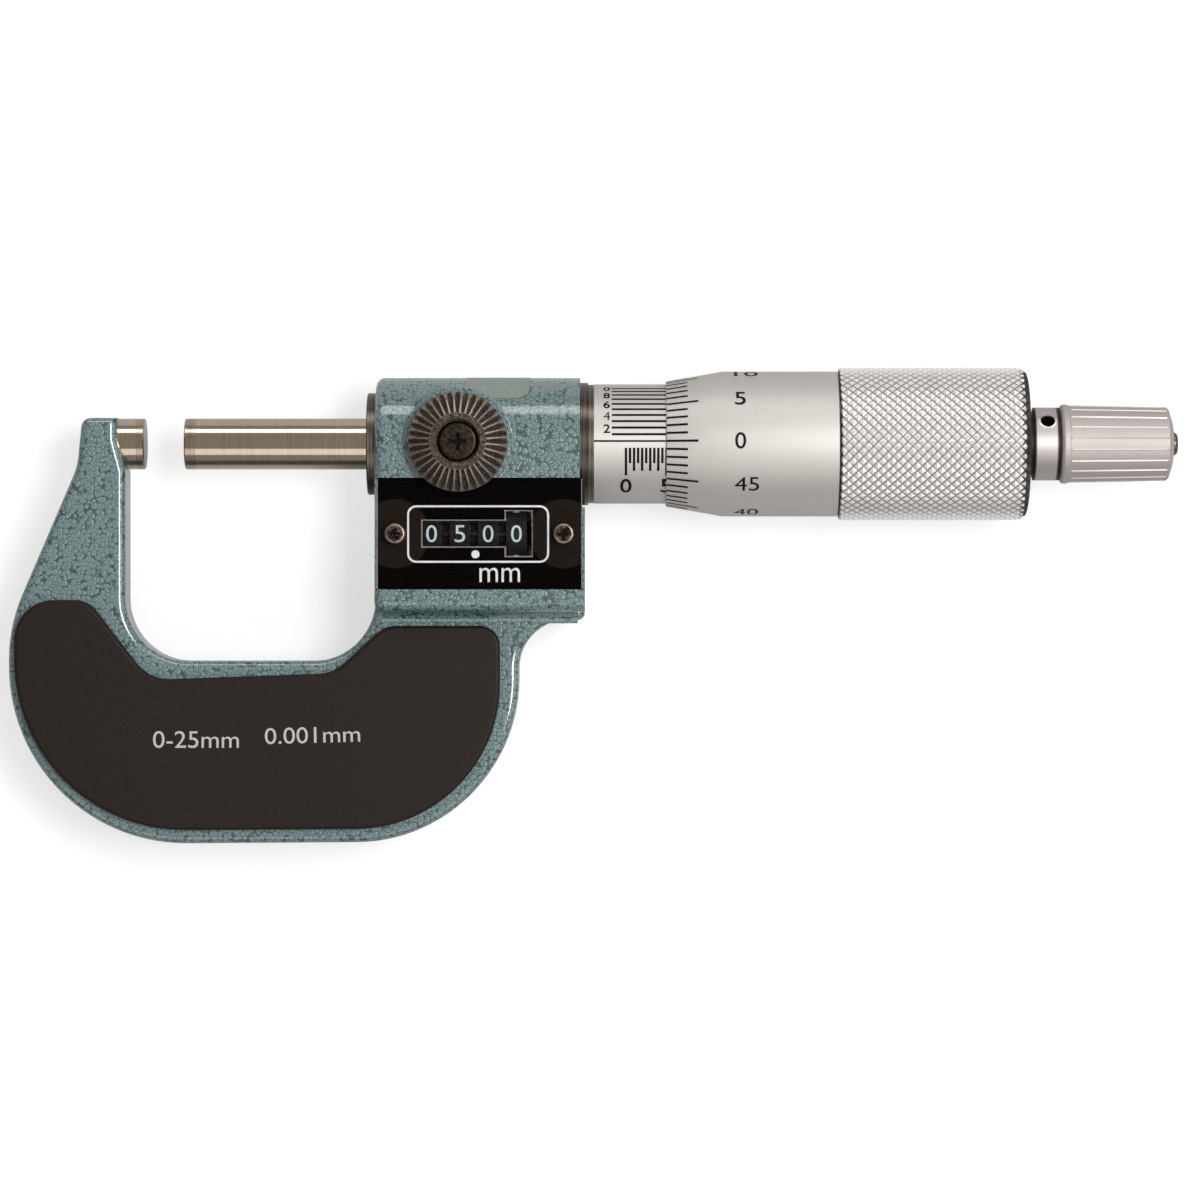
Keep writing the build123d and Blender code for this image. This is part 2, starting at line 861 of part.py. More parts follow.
with BuildPart() as idler_gear:
    extrude(
        gear_face(drive_gear_left, idler_axis, idler_teeth, gear_module, idler_angle),
        amount=gear_width,
    )
    extrude(
        cross_disc(drive_gear_left, idler_axle_radius + slide_clearance, idler_axis),
        amount=gear_width,
        mode=Mode.SUBTRACT,
    )
save(idler_gear, "idler_gear")

with BuildPart() as input_gear:
    extrude(
        gear_face(drive_gear_left, wheel_axis, input_teeth, gear_module, input_angle),
        amount=gear_width,
    )
    extrude(
        cross_disc(drive_gear_left, wheel_bore, wheel_axis),
        amount=gear_width,
        mode=Mode.SUBTRACT,
    )
save(input_gear, "input_gear")

key_right = gear_hub_right - key_length / 4
key_left = key_right - key_length
key_bottom = spindle_radius - keyway_depth + slide_clearance
gear_bore = spindle_radius + slide_clearance

with BuildPart() as drive_gear:
    extrude(
        gear_face(drive_gear_left, spindle_axis, drive_teeth, gear_module, drive_angle),
        amount=gear_width,
    )
    extrude(cross_disc(drive_gear_right, gear_shoulder_radius), amount=gear_shoulder_width)
    extrude(cross_disc(gear_shoulder_right, gear_hub_radius), amount=gear_hub_length)
    extrude(
        cross_disc(drive_gear_left, gear_bore),
        amount=gear_hub_right - drive_gear_left,
        mode=Mode.SUBTRACT,
    )
    with BuildSketch(cross_plane(key_left)):
        with Locations((0, -(key_bottom + key_height / 2))):
            Rectangle(key_width, key_height)
    extrude(amount=key_length, mode=Mode.SUBTRACT)
save(drive_gear, "drive_gear")

with BuildPart() as drive_key:
    with BuildSketch(cross_plane(key_left)):
        with Locations((0, -(key_bottom + key_height / 2))):
            Rectangle(key_width, key_height)
    extrude(amount=key_length)
save(drive_key, "drive_key")


# Inner sleeve, with its collar on the housing and the screw's nut at its far end
hub_bore = gear_hub_radius + running_clearance
thread_bore = thread_radius + thread_clearance
relief_bore = thread_radius + loose_clearance
hub_bore_right = gear_hub_right + running_clearance
shank_radius = gear_bore_radius - shank_clearance

with BuildPart() as inner_sleeve:
    revolve(
        half_section(
            [
                (shank_left, hub_bore),
                (shank_left, shank_radius),
                (housing_right, shank_radius),
                (housing_right, collar_radius),
                (collar_right, collar_radius),
                (collar_right, inner_sleeve_radius),
                (inner_sleeve_right - thread_end_length, inner_sleeve_radius),
                (inner_sleeve_right - thread_end_length, thread_end_radius),
                (inner_sleeve_right, thread_end_radius),
                (inner_sleeve_right, thread_bore),
                (thread_bore_left, thread_bore),
                (thread_bore_left, relief_bore),
                (hub_bore_right, relief_bore),
                (hub_bore_right, hub_bore),
            ]
        ),
        axis=Axis.X,
    )
    # Slits that let the nut close on the screw
    with BuildSketch(cross_plane(inner_sleeve_right)):
        with PolarLocations(inner_sleeve_radius / 2, slit_count):
            Rectangle(inner_sleeve_radius, slit_width)
    extrude(amount=-slit_length, mode=Mode.SUBTRACT)
save(inner_sleeve, "inner_sleeve")

with BuildPart() as sleeve_ring:
    revolve(
        half_section(
            [
                (collar_right, inner_sleeve_radius + shank_clearance),
                (collar_right, sleeve_ring_radius),
                (sleeve_left, sleeve_ring_radius),
                (sleeve_left, inner_sleeve_radius + shank_clearance),
            ]
        ),
        axis=Axis.X,
    )
save(sleeve_ring, "sleeve_ring")

with BuildPart() as sleeve:
    revolve(
        half_section(
            [
                (sleeve_left, inner_sleeve_radius + shank_clearance),
                (sleeve_left, sleeve_radius),
                (sleeve_right, sleeve_radius),
                (sleeve_right, inner_sleeve_radius + shank_clearance),
            ]
        ),
        axis=Axis.X,
    )
save(sleeve, "sleeve")

nut_right = inner_sleeve_right - nut_inset
with BuildPart() as adjusting_nut:
    extrude(cross_disc(nut_right, nut_radius), amount=-nut_length)
    extrude(
        cross_disc(nut_right, thread_end_radius + thread_clearance),
        amount=-nut_length,
        mode=Mode.SUBTRACT,
    )
    with BuildSketch(cross_plane(nut_right)):
        with PolarLocations(nut_radius, 2):
            Rectangle(2 * nut_notch_depth, nut_notch_width)
    extrude(amount=-nut_length, mode=Mode.SUBTRACT)
save(adjusting_nut, "adjusting_nut")

# Spindle with its hard tip, keyway and screw
tip_right = reading + spindle_tip_length
thread_left = thread_bore_left - travel_out - thread_run_out
keyway_left = key_left - travel_out - closing_reserve
keyway_right = key_right + reading + closing_reserve

with BuildPart() as spindle:
    revolve(
        half_section(
            [
                (tip_right, 0),
                (tip_right, spindle_radius),
                (thread_left, spindle_radius),
                (thread_left, thread_radius),
                (thimble_cavity_right, thread_radius),
                (thimble_cavity_right, spindle_radius),
                (thimble_right, spindle_radius),
                (thimble_right, 0),
            ]
        ),
        axis=Axis.X,
    )
    with BuildSketch(cross_plane(keyway_left)):
        with Locations((0, -spindle_radius)):
            Rectangle(key_width + thread_clearance, 2 * keyway_depth)
    extrude(amount=keyway_right - keyway_left, mode=Mode.SUBTRACT)
    extrude(
        cross_disc(thimble_right, stud_radius + shank_clearance),
        amount=-stud_length - running_clearance,
        mode=Mode.SUBTRACT,
    )
save(spindle, "spindle")

with BuildPart() as spindle_tip:
    extrude(cross_disc(reading, spindle_radius), amount=spindle_tip_length)
    chamfer(spindle_tip.edges().group_by(Axis.X)[0], tip_chamfer)
save(spindle_tip, "spindle_tip")

# Thimble, with a bevelled edge for the divisions and a band for the fingers
thimble_bore = sleeve_radius + thimble_clearance
grip_left = thimble_right - grip_length

with BuildPart() as thimble:
    revolve(
        half_section(
            [
                (thimble_left, thimble_bore),
                (thimble_left, thimble_edge_radius),
                (thimble_left + thimble_cone_length, thimble_radius),
                (grip_left, thimble_radius),
                (grip_left, grip_radius),
                (thimble_right - grip_chamfer, grip_radius),
                (thimble_right, grip_radius - grip_chamfer),
                (thimble_right, spindle_radius + shank_clearance),
                (thimble_cavity_right, spindle_radius + shank_clearance),
                (thimble_cavity_right, thimble_bore),
            ]
        ),
        axis=Axis.X,
    )
save(thimble, "thimble")

# Ratchet seat, screwed into the spindle's end against the thimble
pin_axis = (-click_pin_offset, 0.0)
pin_right = cap_left + click_bore_depth - click_tooth_height - running_clearance
pin_left = pin_right - click_pin_length
pin_hole_left = pin_left - click_spring_length

with BuildPart() as ratchet_seat:
    revolve(
        half_section(
            [
                (thimble_right - stud_length, 0),
                (thimble_right - stud_length, stud_radius),
                (thimble_right, stud_radius),
                (thimble_right, ratchet_neck_radius),
                (ratchet_seat_left, ratchet_neck_radius),
                (ratchet_seat_left, ratchet_seat_radius),
                (ratchet_seat_right, ratchet_seat_radius),
                (ratchet_seat_right, spigot_radius),
                (ratchet_seat_right + spigot_length, spigot_radius),
                (ratchet_seat_right + spigot_length, 0),
            ]
        ),
        axis=Axis.X,
    )
    # Spanner hole, hole for the click pin and its spring, and hole for the end screw
    hole_angle = radians(spanner_hole_angle)
    hole_direction = Vector(0, cos(hole_angle), sin(hole_angle))
    hole_middle = Vector((ratchet_seat_left + ratchet_seat_right) / 2, 0, 0)
    hole_bottom = hole_middle + hole_direction * (ratchet_seat_radius - spanner_hole_depth)
    with BuildSketch(Plane(origin=hole_bottom, x_dir=(1, 0, 0), z_dir=hole_direction)):
        Circle(spanner_hole_radius)
    extrude(amount=ratchet_seat_radius, mode=Mode.SUBTRACT)
    extrude(
        cross_disc(pin_hole_left, click_pin_radius + slide_clearance, pin_axis),
        amount=ratchet_seat_right - pin_hole_left,
        mode=Mode.SUBTRACT,
    )
    extrude(
        cross_disc(ratchet_seat_right + spigot_length, cap_screw_radius + thread_clearance),
        amount=-cap_screw_length,
        mode=Mode.SUBTRACT,
    )
save(ratchet_seat, "ratchet_seat")

with BuildPart() as click_pin:
    extrude(cross_disc(pin_left, click_pin_radius, pin_axis), amount=click_pin_length)
save(click_pin, "click_pin")

spring_radius = click_pin_radius - click_spring_wire
with BuildPart() as click_spring:
    with BuildLine() as spring_line:
        Helix(
            pitch=2.5 * click_spring_wire,
            height=click_spring_length - 2 * click_spring_wire,
            radius=spring_radius,
            center=(pin_hole_left + click_spring_wire, pin_axis[0], pin_axis[1]),
            direction=(1, 0, 0),
        )
    with BuildSketch(Plane(origin=spring_line.line @ 0, z_dir=spring_line.line % 0)):
        Rectangle(click_spring_wire, click_spring_wire)
    sweep(path=spring_line.line)
save(click_spring, "click_spring")

# Ratchet cap, free to turn on the seat's spigot against the click pin
cap_screw_left = ratchet_seat_right + spigot_length
cap_inner_end = cap_screw_left + running_clearance

with BuildPart() as ratchet_cap:
    revolve(
        half_section(
            [
                (cap_left, click_bore_radius),
                (cap_left, cap_flange_radius),
                (cap_left + cap_flange_width / 2, cap_flange_radius),
                (cap_left + cap_flange_width, cap_radius),
                (cap_right - cap_end_chamfer, cap_end_radius),
                (cap_right, cap_end_radius - cap_end_chamfer),
                (cap_right, cap_screw_radius + running_clearance),
                (cap_inner_end, cap_screw_radius + running_clearance),
                (cap_inner_end, spigot_radius + running_clearance),
                (cap_left + click_bore_depth, spigot_radius + running_clearance),
                (cap_left + click_bore_depth, click_bore_radius),
            ]
        ),
        axis=Axis.X,
    )
    # Ribs along the outside
    with BuildSketch(cross_plane(cap_left + cap_rib_inset)):
        with PolarLocations(cap_end_radius, cap_ribs):
            Rectangle(2 * (cap_radius - cap_end_radius + cap_rib_height), cap_rib_width)
    extrude(amount=cap_length - cap_rib_inset - cap_end_chamfer)
    # Click teeth inside the flange
    with BuildSketch(cross_plane(cap_left + click_bore_depth)):
        with PolarLocations(click_pin_offset, click_teeth):
            Rectangle(click_tooth_length, click_tooth_width)
    extrude(amount=-click_tooth_height)
save(ratchet_cap, "ratchet_cap")

head_left = cap_right + running_clearance
with BuildPart() as ratchet_screw:
    extrude(cross_disc(head_left, cap_screw_radius), amount=cap_screw_left - head_left)
    extrude(
        cross_disc(cap_screw_left, cap_screw_radius),
        amount=-cap_screw_length + running_clearance,
    )
    extrude(cross_disc(head_left, cap_screw_head_radius), amount=cap_screw_head_height)
    chamfer(ratchet_screw.edges().group_by(Axis.X)[-1], cap_screw_head_height / 2)
save(ratchet_screw, "ratchet_screw")


# Spindle lock: a ribbed knob on a screwed stem, which presses a pad onto the spindle
lock_place = (lock_x, 0.0)
knob_front = knob_back + knob_height
recess_floor_z = knob_front - knob_recess_depth

with BuildPart() as lock_pad:
    extrude(front_disc(0, stem_radius, lock_place), amount=stem_back - running_clearance)
    extrude(
        cross_disc(housing_left, spindle_radius + slide_clearance),
        amount=housing_length,
        mode=Mode.SUBTRACT,
    )
save(lock_pad, "lock_pad")

with BuildPart() as lock_stem:
    extrude(front_disc(stem_back, stem_radius, lock_place), amount=knob_back - stem_back)
    extrude(
        front_disc(lock_boss_front + running_clearance, stem_flange_radius, lock_place),
        amount=stem_flange_height,
    )
    extrude(
        front_disc(knob_back, lock_screw_radius + thread_clearance, lock_place),
        amount=-lock_screw_length,
        mode=Mode.SUBTRACT,
    )
save(lock_stem, "lock_stem")

with BuildPart() as lock_knob:
    revolve(
        upright_section(
            [
                (lock_screw_radius + thread_clearance, knob_back),
                (knob_radius - tip_chamfer, knob_back),
                (knob_radius, knob_back + tip_chamfer),
                (knob_radius, knob_back + knob_rim_height),
                (knob_shoulder_radius, knob_front - knob_shoulder_drop),
                (knob_crown_radius, knob_front),
                (knob_recess_radius, knob_front),
                (knob_recess_radius, recess_floor_z),
                (lock_screw_radius + thread_clearance, recess_floor_z),
            ],
            lock_place,
        ),
        axis=Axis((lock_x, 0, 0), (0, 0, 1)),
    )
    # Ribs between V grooves that run down from the crown to the rim
    groove_start = Vector(knob_groove_start_radius, 0, knob_front - knob_groove_start_depth)
    groove_end = Vector(knob_radius, 0, knob_back + knob_groove_end_height)
    groove_run = groove_start - groove_end
    groove_outside = groove_end - groove_run * (knob_groove_start_depth / groove_run.length)
    groove_length = (groove_start - groove_outside).length
    groove_half_width = knob_height * tan(radians(knob_groove_half_angle))
    for index in range(knob_ribs):
        turn = 360 * index / knob_ribs
        groove_plane = Plane(
            origin=groove_outside.rotate(Axis.Z, turn) + Vector(lock_x, 0, 0),
            x_dir=Vector(0, -1, 0).rotate(Axis.Z, turn),
            z_dir=groove_run.rotate(Axis.Z, turn),
        )
        with BuildSketch(groove_plane):
            with BuildLine():
                Polyline(
                    (0, 0),
                    (groove_half_width, knob_height),
                    (-groove_half_width, knob_height),
                    close=True,
                )
            make_face()
        extrude(amount=groove_length, mode=Mode.SUBTRACT)
save(lock_knob, "lock_knob")

with BuildPart() as lock_screw:
    extrude(
        front_disc(recess_floor_z, lock_screw_radius, lock_place),
        amount=knob_back - recess_floor_z - lock_screw_length + running_clearance,
    )
    extrude(front_disc(recess_floor_z, lock_screw_head_radius, lock_place), amount=lock_screw_head_height)
    fillet(lock_screw.edges().group_by(Axis.Z)[-1], lock_screw_head_height / 2)
    extrude(
        front_cross(
            recess_floor_z + lock_screw_head_height,
            lock_cross_size,
            lock_cross_width,
            lock_place,
        ),
        amount=-lock_cross_depth,
        mode=Mode.SUBTRACT,
    )
save(lock_screw, "lock_screw")
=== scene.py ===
# %% [markdown]
# # Outside micrometer with a mechanical digit counter
# This notebook dresses the imported model of an outside micrometer. The solids come ready from the
# CAD source, so most of the work here is finish: enamel, ground and satin steel, moulded grips,
# printed scales, a cut knurl and the figures on the counter's wheels. The first cell loads the
# model and keeps its box, which places the lamps and the floor.

import math

import bmesh
import bpy
from mathutils import Matrix, Vector


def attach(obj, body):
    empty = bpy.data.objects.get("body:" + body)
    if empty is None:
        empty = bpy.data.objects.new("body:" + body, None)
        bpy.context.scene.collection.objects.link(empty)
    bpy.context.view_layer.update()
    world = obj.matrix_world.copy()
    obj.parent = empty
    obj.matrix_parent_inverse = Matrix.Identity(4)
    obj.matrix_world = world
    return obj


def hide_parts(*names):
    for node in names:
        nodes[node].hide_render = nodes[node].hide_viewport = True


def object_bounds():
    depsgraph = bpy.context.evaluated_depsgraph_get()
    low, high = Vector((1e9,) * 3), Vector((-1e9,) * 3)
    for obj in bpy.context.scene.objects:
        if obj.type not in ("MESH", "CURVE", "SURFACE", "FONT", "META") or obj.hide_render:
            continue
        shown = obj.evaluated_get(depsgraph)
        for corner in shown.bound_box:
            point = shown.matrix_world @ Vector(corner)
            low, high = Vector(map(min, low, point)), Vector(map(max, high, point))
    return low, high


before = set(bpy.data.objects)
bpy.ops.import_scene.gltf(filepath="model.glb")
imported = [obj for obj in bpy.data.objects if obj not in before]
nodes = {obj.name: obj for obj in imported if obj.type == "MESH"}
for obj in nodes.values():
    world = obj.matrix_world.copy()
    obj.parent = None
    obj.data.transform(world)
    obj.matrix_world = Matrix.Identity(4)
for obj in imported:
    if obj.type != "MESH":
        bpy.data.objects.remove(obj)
cad_low, cad_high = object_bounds()
mm = 0.001
print("nodes", len(nodes), "box in mm", [round(v / mm, 2) for v in (*cad_low, *cad_high)])

# %% [markdown]
# ## Camera
# The photograph looks straight down on the instrument from about 0.64 m with a long lens. That
# was worked out from the picture: 8 pixels are 1 mm at the height of the spindle axis, and the
# picture's middle falls on a point in the throat. A lens of the same angle at the same distance
# gives the same slight perspective, which a flat orthographic camera would lose.

# %% Camera over the throat
picture_width = 150 * mm
camera_height = 637 * mm
picture_middle = (56.79 * mm, -19.5 * mm)
camera_data = bpy.data.cameras.new("camera")
camera_data.sensor_width = 36
camera_data.lens = camera_data.sensor_width * camera_height / picture_width
camera_data.clip_start = 0.01
camera_data.clip_end = 20
camera = bpy.data.objects.new("camera", camera_data)
camera.location = (*picture_middle, camera_height)
bpy.context.scene.collection.objects.link(camera)
bpy.context.scene.camera = camera
print("lens", round(camera_data.lens, 1), "mm")

# %% [markdown]
# ## Light
# The polished spindle works as a mirror that shows how the photograph was lit. A narrow bright
# band about 30 degrees above its middle is a strip light beyond the top of the picture, and a
# wider, weaker band below the middle is a second, softer light. The rest of the room is a dim
# warm grey. Area lamps stand where the bands point, and the world gives the grey. A lamp at the
# right lights the ratchet's end. The last one hangs high and a little to the right, where the
# flat cover doesn't mirror it, and gives the satin chrome its broad pale highlight.

# %% Room and lamps
scene = bpy.context.scene
scene.view_settings.view_transform = "Standard"
room_grey = (0.35, 0.327, 0.304, 1)
world = bpy.data.worlds.new("room")
scene.world = world
world.use_nodes = True
background = world.node_tree.nodes["Background"]
background.inputs["Color"].default_value = room_grey
background.inputs["Strength"].default_value = 1.0
object_middle = (cad_low + cad_high) / 2
lamp_distance = 0.9


def area_lamp(name, direction, across, width, length, brightness):
    """A rectangular lamp aimed at the object; its length lies across the given direction."""
    data = bpy.data.lights.new(name, "AREA")
    data.shape = "RECTANGLE"
    data.size = length
    data.size_y = width
    data.energy = math.pi * width * length * brightness
    lamp = bpy.data.objects.new(name, data)
    toward = Vector(direction).normalized()
    sideways = Vector(across)
    sideways = (sideways - toward * sideways.dot(toward)).normalized()
    lamp.location = object_middle + toward * lamp_distance
    lamp.rotation_euler = Matrix((sideways, toward.cross(sideways), toward)).transposed().to_euler()
    scene.collection.objects.link(lamp)


def tilted(angle):
    """Sine and cosine of an angle from straight above, in degrees."""
    return math.sin(math.radians(angle)), math.cos(math.radians(angle))


along_x, along_y = (1, 0, 0), (0, 1, 0)
strip_side, strip_up = tilted(61)
soft_side, soft_up = tilted(-37)
right_side, right_up = tilted(60)
area_lamp("strip lamp", (0, strip_side, strip_up), along_x, width=0.26, length=1.0, brightness=3.2)
area_lamp("soft lamp", (0, soft_side, soft_up), along_x, width=0.46, length=1.2, brightness=1.0)
area_lamp("right lamp", (right_side, 0, right_up), along_y, width=0.22, length=0.8, brightness=2.2)
area_lamp("front lamp", (0.36, 0.11, 0.93), along_x, width=0.4, length=0.3, brightness=16.5)

# %% [markdown]
# ## Floor
# The instrument lies on its back on a pale table. The table is a light grey, and some light of
# its own is added only for what the camera and mirror-like surfaces see, so that it reads as the
# white ground of the photograph while the object's soft shadow stays on it.

# %% Pale floor
floor_half = 1.5
share_for_mirrors = 0.2
own_light = 0.62


def principled(material):
    """The material's main shader."""
    return material.node_tree.nodes["Principled BSDF"]


def new_material(name, constants):
    """A Principled material with constants on the shader's own sockets."""
    material = bpy.data.materials.new(name)
    material.use_nodes = True
    for socket_name, value in constants.items():
        principled(material).inputs[socket_name].default_value = value
    return material


def math_node(tree, operation, first, second=None, kind="ShaderNodeMath"):
    """One math node; its second value is another socket or a constant."""
    node = tree.nodes.new(kind)
    node.operation = operation
    tree.links.new(first, node.inputs[0])
    if isinstance(second, bpy.types.NodeSocket):
        tree.links.new(second, node.inputs[1])
    elif second is not None:
        node.inputs[1].default_value = second
    return node.outputs[0]


floor_material = new_material(
    "pale table",
    {
        "Base Color": (0.40, 0.404, 0.41, 1),
        "Roughness": 0.9,
        "Specular IOR Level": 0.1,
        "Emission Color": (1, 1, 1, 1),
    },
)
tree = floor_material.node_tree
rays = tree.nodes.new("ShaderNodeLightPath").outputs
in_mirrors = math_node(tree, "MULTIPLY", rays["Is Glossy Ray"], share_for_mirrors)
seen = math_node(tree, "ADD", in_mirrors, rays["Is Camera Ray"])
seen_through = math_node(tree, "MAXIMUM", seen, rays["Is Transmission Ray"])
glow = math_node(tree, "MULTIPLY", seen_through, own_light)
tree.links.new(glow, principled(floor_material).inputs["Emission Strength"])

floor_shape = bmesh.new()
bmesh.ops.create_grid(floor_shape, x_segments=1, y_segments=1, size=floor_half)
bmesh.ops.translate(floor_shape, verts=floor_shape.verts, vec=(object_middle.x, object_middle.y, cad_low.z))
floor_mesh = bpy.data.meshes.new("floor")
floor_shape.to_mesh(floor_mesh)
floor_shape.free()
floor_mesh.materials.append(floor_material)
floor = bpy.data.objects.new("floor", floor_mesh)
scene.collection.objects.link(floor)
print("floor at", round(cad_low.z / mm, 2), "mm")

# %% [markdown]
# ## Shared effects
# Several finishes need the same three effects, so each is a node group with named sockets. Fine
# grain is the small unevenness of a moulded or blasted surface. Turned lines are the fine marks
# that a lathe or grinding wheel leaves around a part, made from noise squeezed along the
# spindle. The third group tells how far a point is from an axis, and makes waves that run round
# it. Each material places the groups with its own values.

# %% Grain and turned lines


def noise_node(tree, vector, scale, detail=2.0, roughness=0.5):
    """A 3-D noise texture with set values, read at some coordinates."""
    noise = tree.nodes.new("ShaderNodeTexNoise")
    noise.inputs["Scale"].default_value = scale
    noise.inputs["Detail"].default_value = detail
    noise.inputs["Roughness"].default_value = roughness
    tree.links.new(vector, noise.inputs["Vector"])
    return noise


def map_range(tree, value, low_in, high_in, low_out=0.0, high_out=1.0):
    """Stretch a value from one range to another and return the new socket."""
    node = tree.nodes.new("ShaderNodeMapRange")
    tree.links.new(value, node.inputs["Value"])
    for socket_name, number in (
        ("From Min", low_in),
        ("From Max", high_in),
        ("To Min", low_out),
        ("To Max", high_out),
    ):
        node.inputs[socket_name].default_value = number
    return node.outputs["Result"]


def new_group(name, inputs, outputs):
    """An empty shader node group with named sockets, and its two end nodes."""
    group = bpy.data.node_groups.new(name, "ShaderNodeTree")
    for in_out, socket_names in (("INPUT", inputs), ("OUTPUT", outputs)):
        for socket_name in socket_names:
            kind = "NodeSocketVector" if socket_name == "Vector" else "NodeSocketFloat"
            group.interface.new_socket(socket_name, in_out=in_out, socket_type=kind)
    return group, group.nodes.new("NodeGroupInput"), group.nodes.new("NodeGroupOutput")


def noise_group(name, squeeze, roughness):
    """A group that gives noise, squeezed along the spindle's axis, as a shade and a height."""
    group, start, end = new_group(name, ("Vector", "Scale"), ("Shade", "Height"))
    mapping = group.nodes.new("ShaderNodeMapping")
    mapping.inputs["Scale"].default_value = (1.0, squeeze, squeeze)
    group.links.new(start.outputs["Vector"], mapping.inputs["Vector"])
    noise = noise_node(group, mapping.outputs["Vector"], 1.0, 3.0, roughness)
    group.links.new(start.outputs["Scale"], noise.inputs["Scale"])
    group.links.new(noise.outputs["Fac"], end.inputs["Height"])
    group.links.new(map_range(group, noise.outputs["Fac"], 0.3, 0.7), end.inputs["Shade"])
    return group


grain_group = noise_group("fine grain", 1.0, 0.6)
lines_group = noise_group("turned lines", 0.012, 0.65)
print("noise groups", grain_group.name, "and", lines_group.name)

# %% Distance and waves around an axis
around_group, around_in, around_out = new_group(
    "around an axis", ("Across", "Up", "Count"), ("Radius", "Wave")
)
across, up = around_in.outputs["Across"], around_in.outputs["Up"]
across_squared = math_node(around_group, "MULTIPLY", across, across)
up_squared = math_node(around_group, "MULTIPLY", up, up)
radius_squared = math_node(around_group, "ADD", across_squared, up_squared)
around_group.links.new(math_node(around_group, "SQRT", radius_squared), around_out.inputs["Radius"])
turned_angle = math_node(around_group, "ARCTAN2", up, across)
turned_often = math_node(around_group, "MULTIPLY", turned_angle, around_in.outputs["Count"])
around_group.links.new(math_node(around_group, "COSINE", turned_often), around_out.inputs["Wave"])
print("groups", [g.name for g in bpy.data.node_groups])

# %% [markdown]
# ## From effects to finishes
# Most finishes are made alike. A shared group gives a shade, which a colour ramp turns into the
# base colour and a stretched range into the roughness, and a height, which a Bump node turns
# into fine relief. So one function makes them all from a few values.

# %% Material helpers


def shade_ramp(material, value, stops):
    """Drive the base colour with a ramp of (position, colour) stops; the last is also its constant."""
    tree = material.node_tree
    base_colour = principled(material).inputs["Base Color"]
    base_colour.default_value = (*stops[-1][1], 1)
    ramp = tree.nodes.new("ShaderNodeValToRGB")
    for element, (position, colour) in zip(ramp.color_ramp.elements, (stops[0], stops[-1])):
        element.position = position
        element.color = (*colour, 1)
    for position, colour in stops[1:-1]:
        ramp.color_ramp.elements.new(position).color = (*colour, 1)
    tree.links.new(value, ramp.inputs["Fac"])
    tree.links.new(ramp.outputs["Color"], base_colour)


def roughness_between(material, value, low, high):
    """Drive the roughness from low to high with a 0 to 1 value; the middle is its constant."""
    roughness = principled(material).inputs["Roughness"]
    roughness.default_value = (low + high) / 2
    material.node_tree.links.new(map_range(material.node_tree, value, 0.0, 1.0, low, high), roughness)


def bump(material, height, distance, strength):
    """Give the surface relief from a height value, with its depth in metres."""
    tree = material.node_tree
    node = tree.nodes.new("ShaderNodeBump")
    node.inputs["Distance"].default_value = distance
    node.inputs["Strength"].default_value = strength
    tree.links.new(height, node.inputs["Height"])
    tree.links.new(node.outputs["Normal"], principled(material).inputs["Normal"])


def finish(name, group, scale, colours, rough, metallic=0.0, relief=0.0, strength=0.5, specular=0.5):
    """A material whose colour, roughness and relief follow a shared group on Object coordinates."""
    material = new_material(name, {"Metallic": metallic, "Specular IOR Level": specular})
    tree = material.node_tree
    texture = tree.nodes.new("ShaderNodeGroup")
    texture.name = "texture"
    texture.node_tree = group
    texture.inputs["Scale"].default_value = scale
    tree.links.new(tree.nodes.new("ShaderNodeTexCoord").outputs["Object"], texture.inputs["Vector"])
    if colours:
        dark, light = colours
        shade_ramp(material, texture.outputs["Shade"], ((0.0, dark), (1.0, light)))
    if isinstance(rough, tuple):
        roughness_between(material, texture.outputs["Shade"], *rough)
    else:
        principled(material).inputs["Roughness"].default_value = rough
    if relief:
        bump(material, texture.outputs["Height"], relief, strength)
    return material


def dress(node_names, material):
    """Give CAD nodes their finish."""
    for node_name in node_names:
        mesh = nodes[node_name].data
        mesh.materials.clear()
        mesh.materials.append(material)


# %% [markdown]
# ## Hammered enamel
# The frame is sprayed with hammer-finish enamel. As it dries the paint draws together into round
# pale cells, and darker paint shows in the seams between them. A Voronoi texture makes such
# cells: its distance to the nearest seam gives both the colour and the relief, its distance to
# the cell's heart rounds the corners, and a little noise bends the cells first, so that no two
# seams run straight. A paler ring just inside each cell's edge is a painted highlight. A clear
# coat gives the gloss.

# %% Hammered enamel material
cell_scale = 1700.0
bend_depth = 0.5 * mm
seam_paint, cell_flank = (0.007, 0.034, 0.039), (0.060, 0.121, 0.125)
cell_highlight_ring, cell_heart = (0.155, 0.232, 0.238), (0.104, 0.172, 0.178)
enamel = new_material("hammered enamel", {"Coat Weight": 1.0, "Coat Roughness": 0.11, "Coat IOR": 1.7})
tree = enamel.node_tree
place = tree.nodes.new("ShaderNodeTexCoord").outputs["Object"]
bend = noise_node(tree, place, 2000.0).outputs["Color"]
for operation, amount in (("SUBTRACT", 0.5), ("MULTIPLY", bend_depth)):
    bend = math_node(tree, operation, bend, (amount,) * 3, "ShaderNodeVectorMath")
bent = math_node(tree, "ADD", place, bend, "ShaderNodeVectorMath")


def cell_distance(feature):
    """A point's distance in its cell, to the seam or to the cell's heart."""
    voronoi = tree.nodes.new("ShaderNodeTexVoronoi")
    voronoi.feature = feature
    voronoi.inputs["Scale"].default_value = cell_scale
    voronoi.inputs["Randomness"].default_value = 0.85
    tree.links.new(bent, voronoi.inputs["Vector"])
    return voronoi.outputs["Distance"]


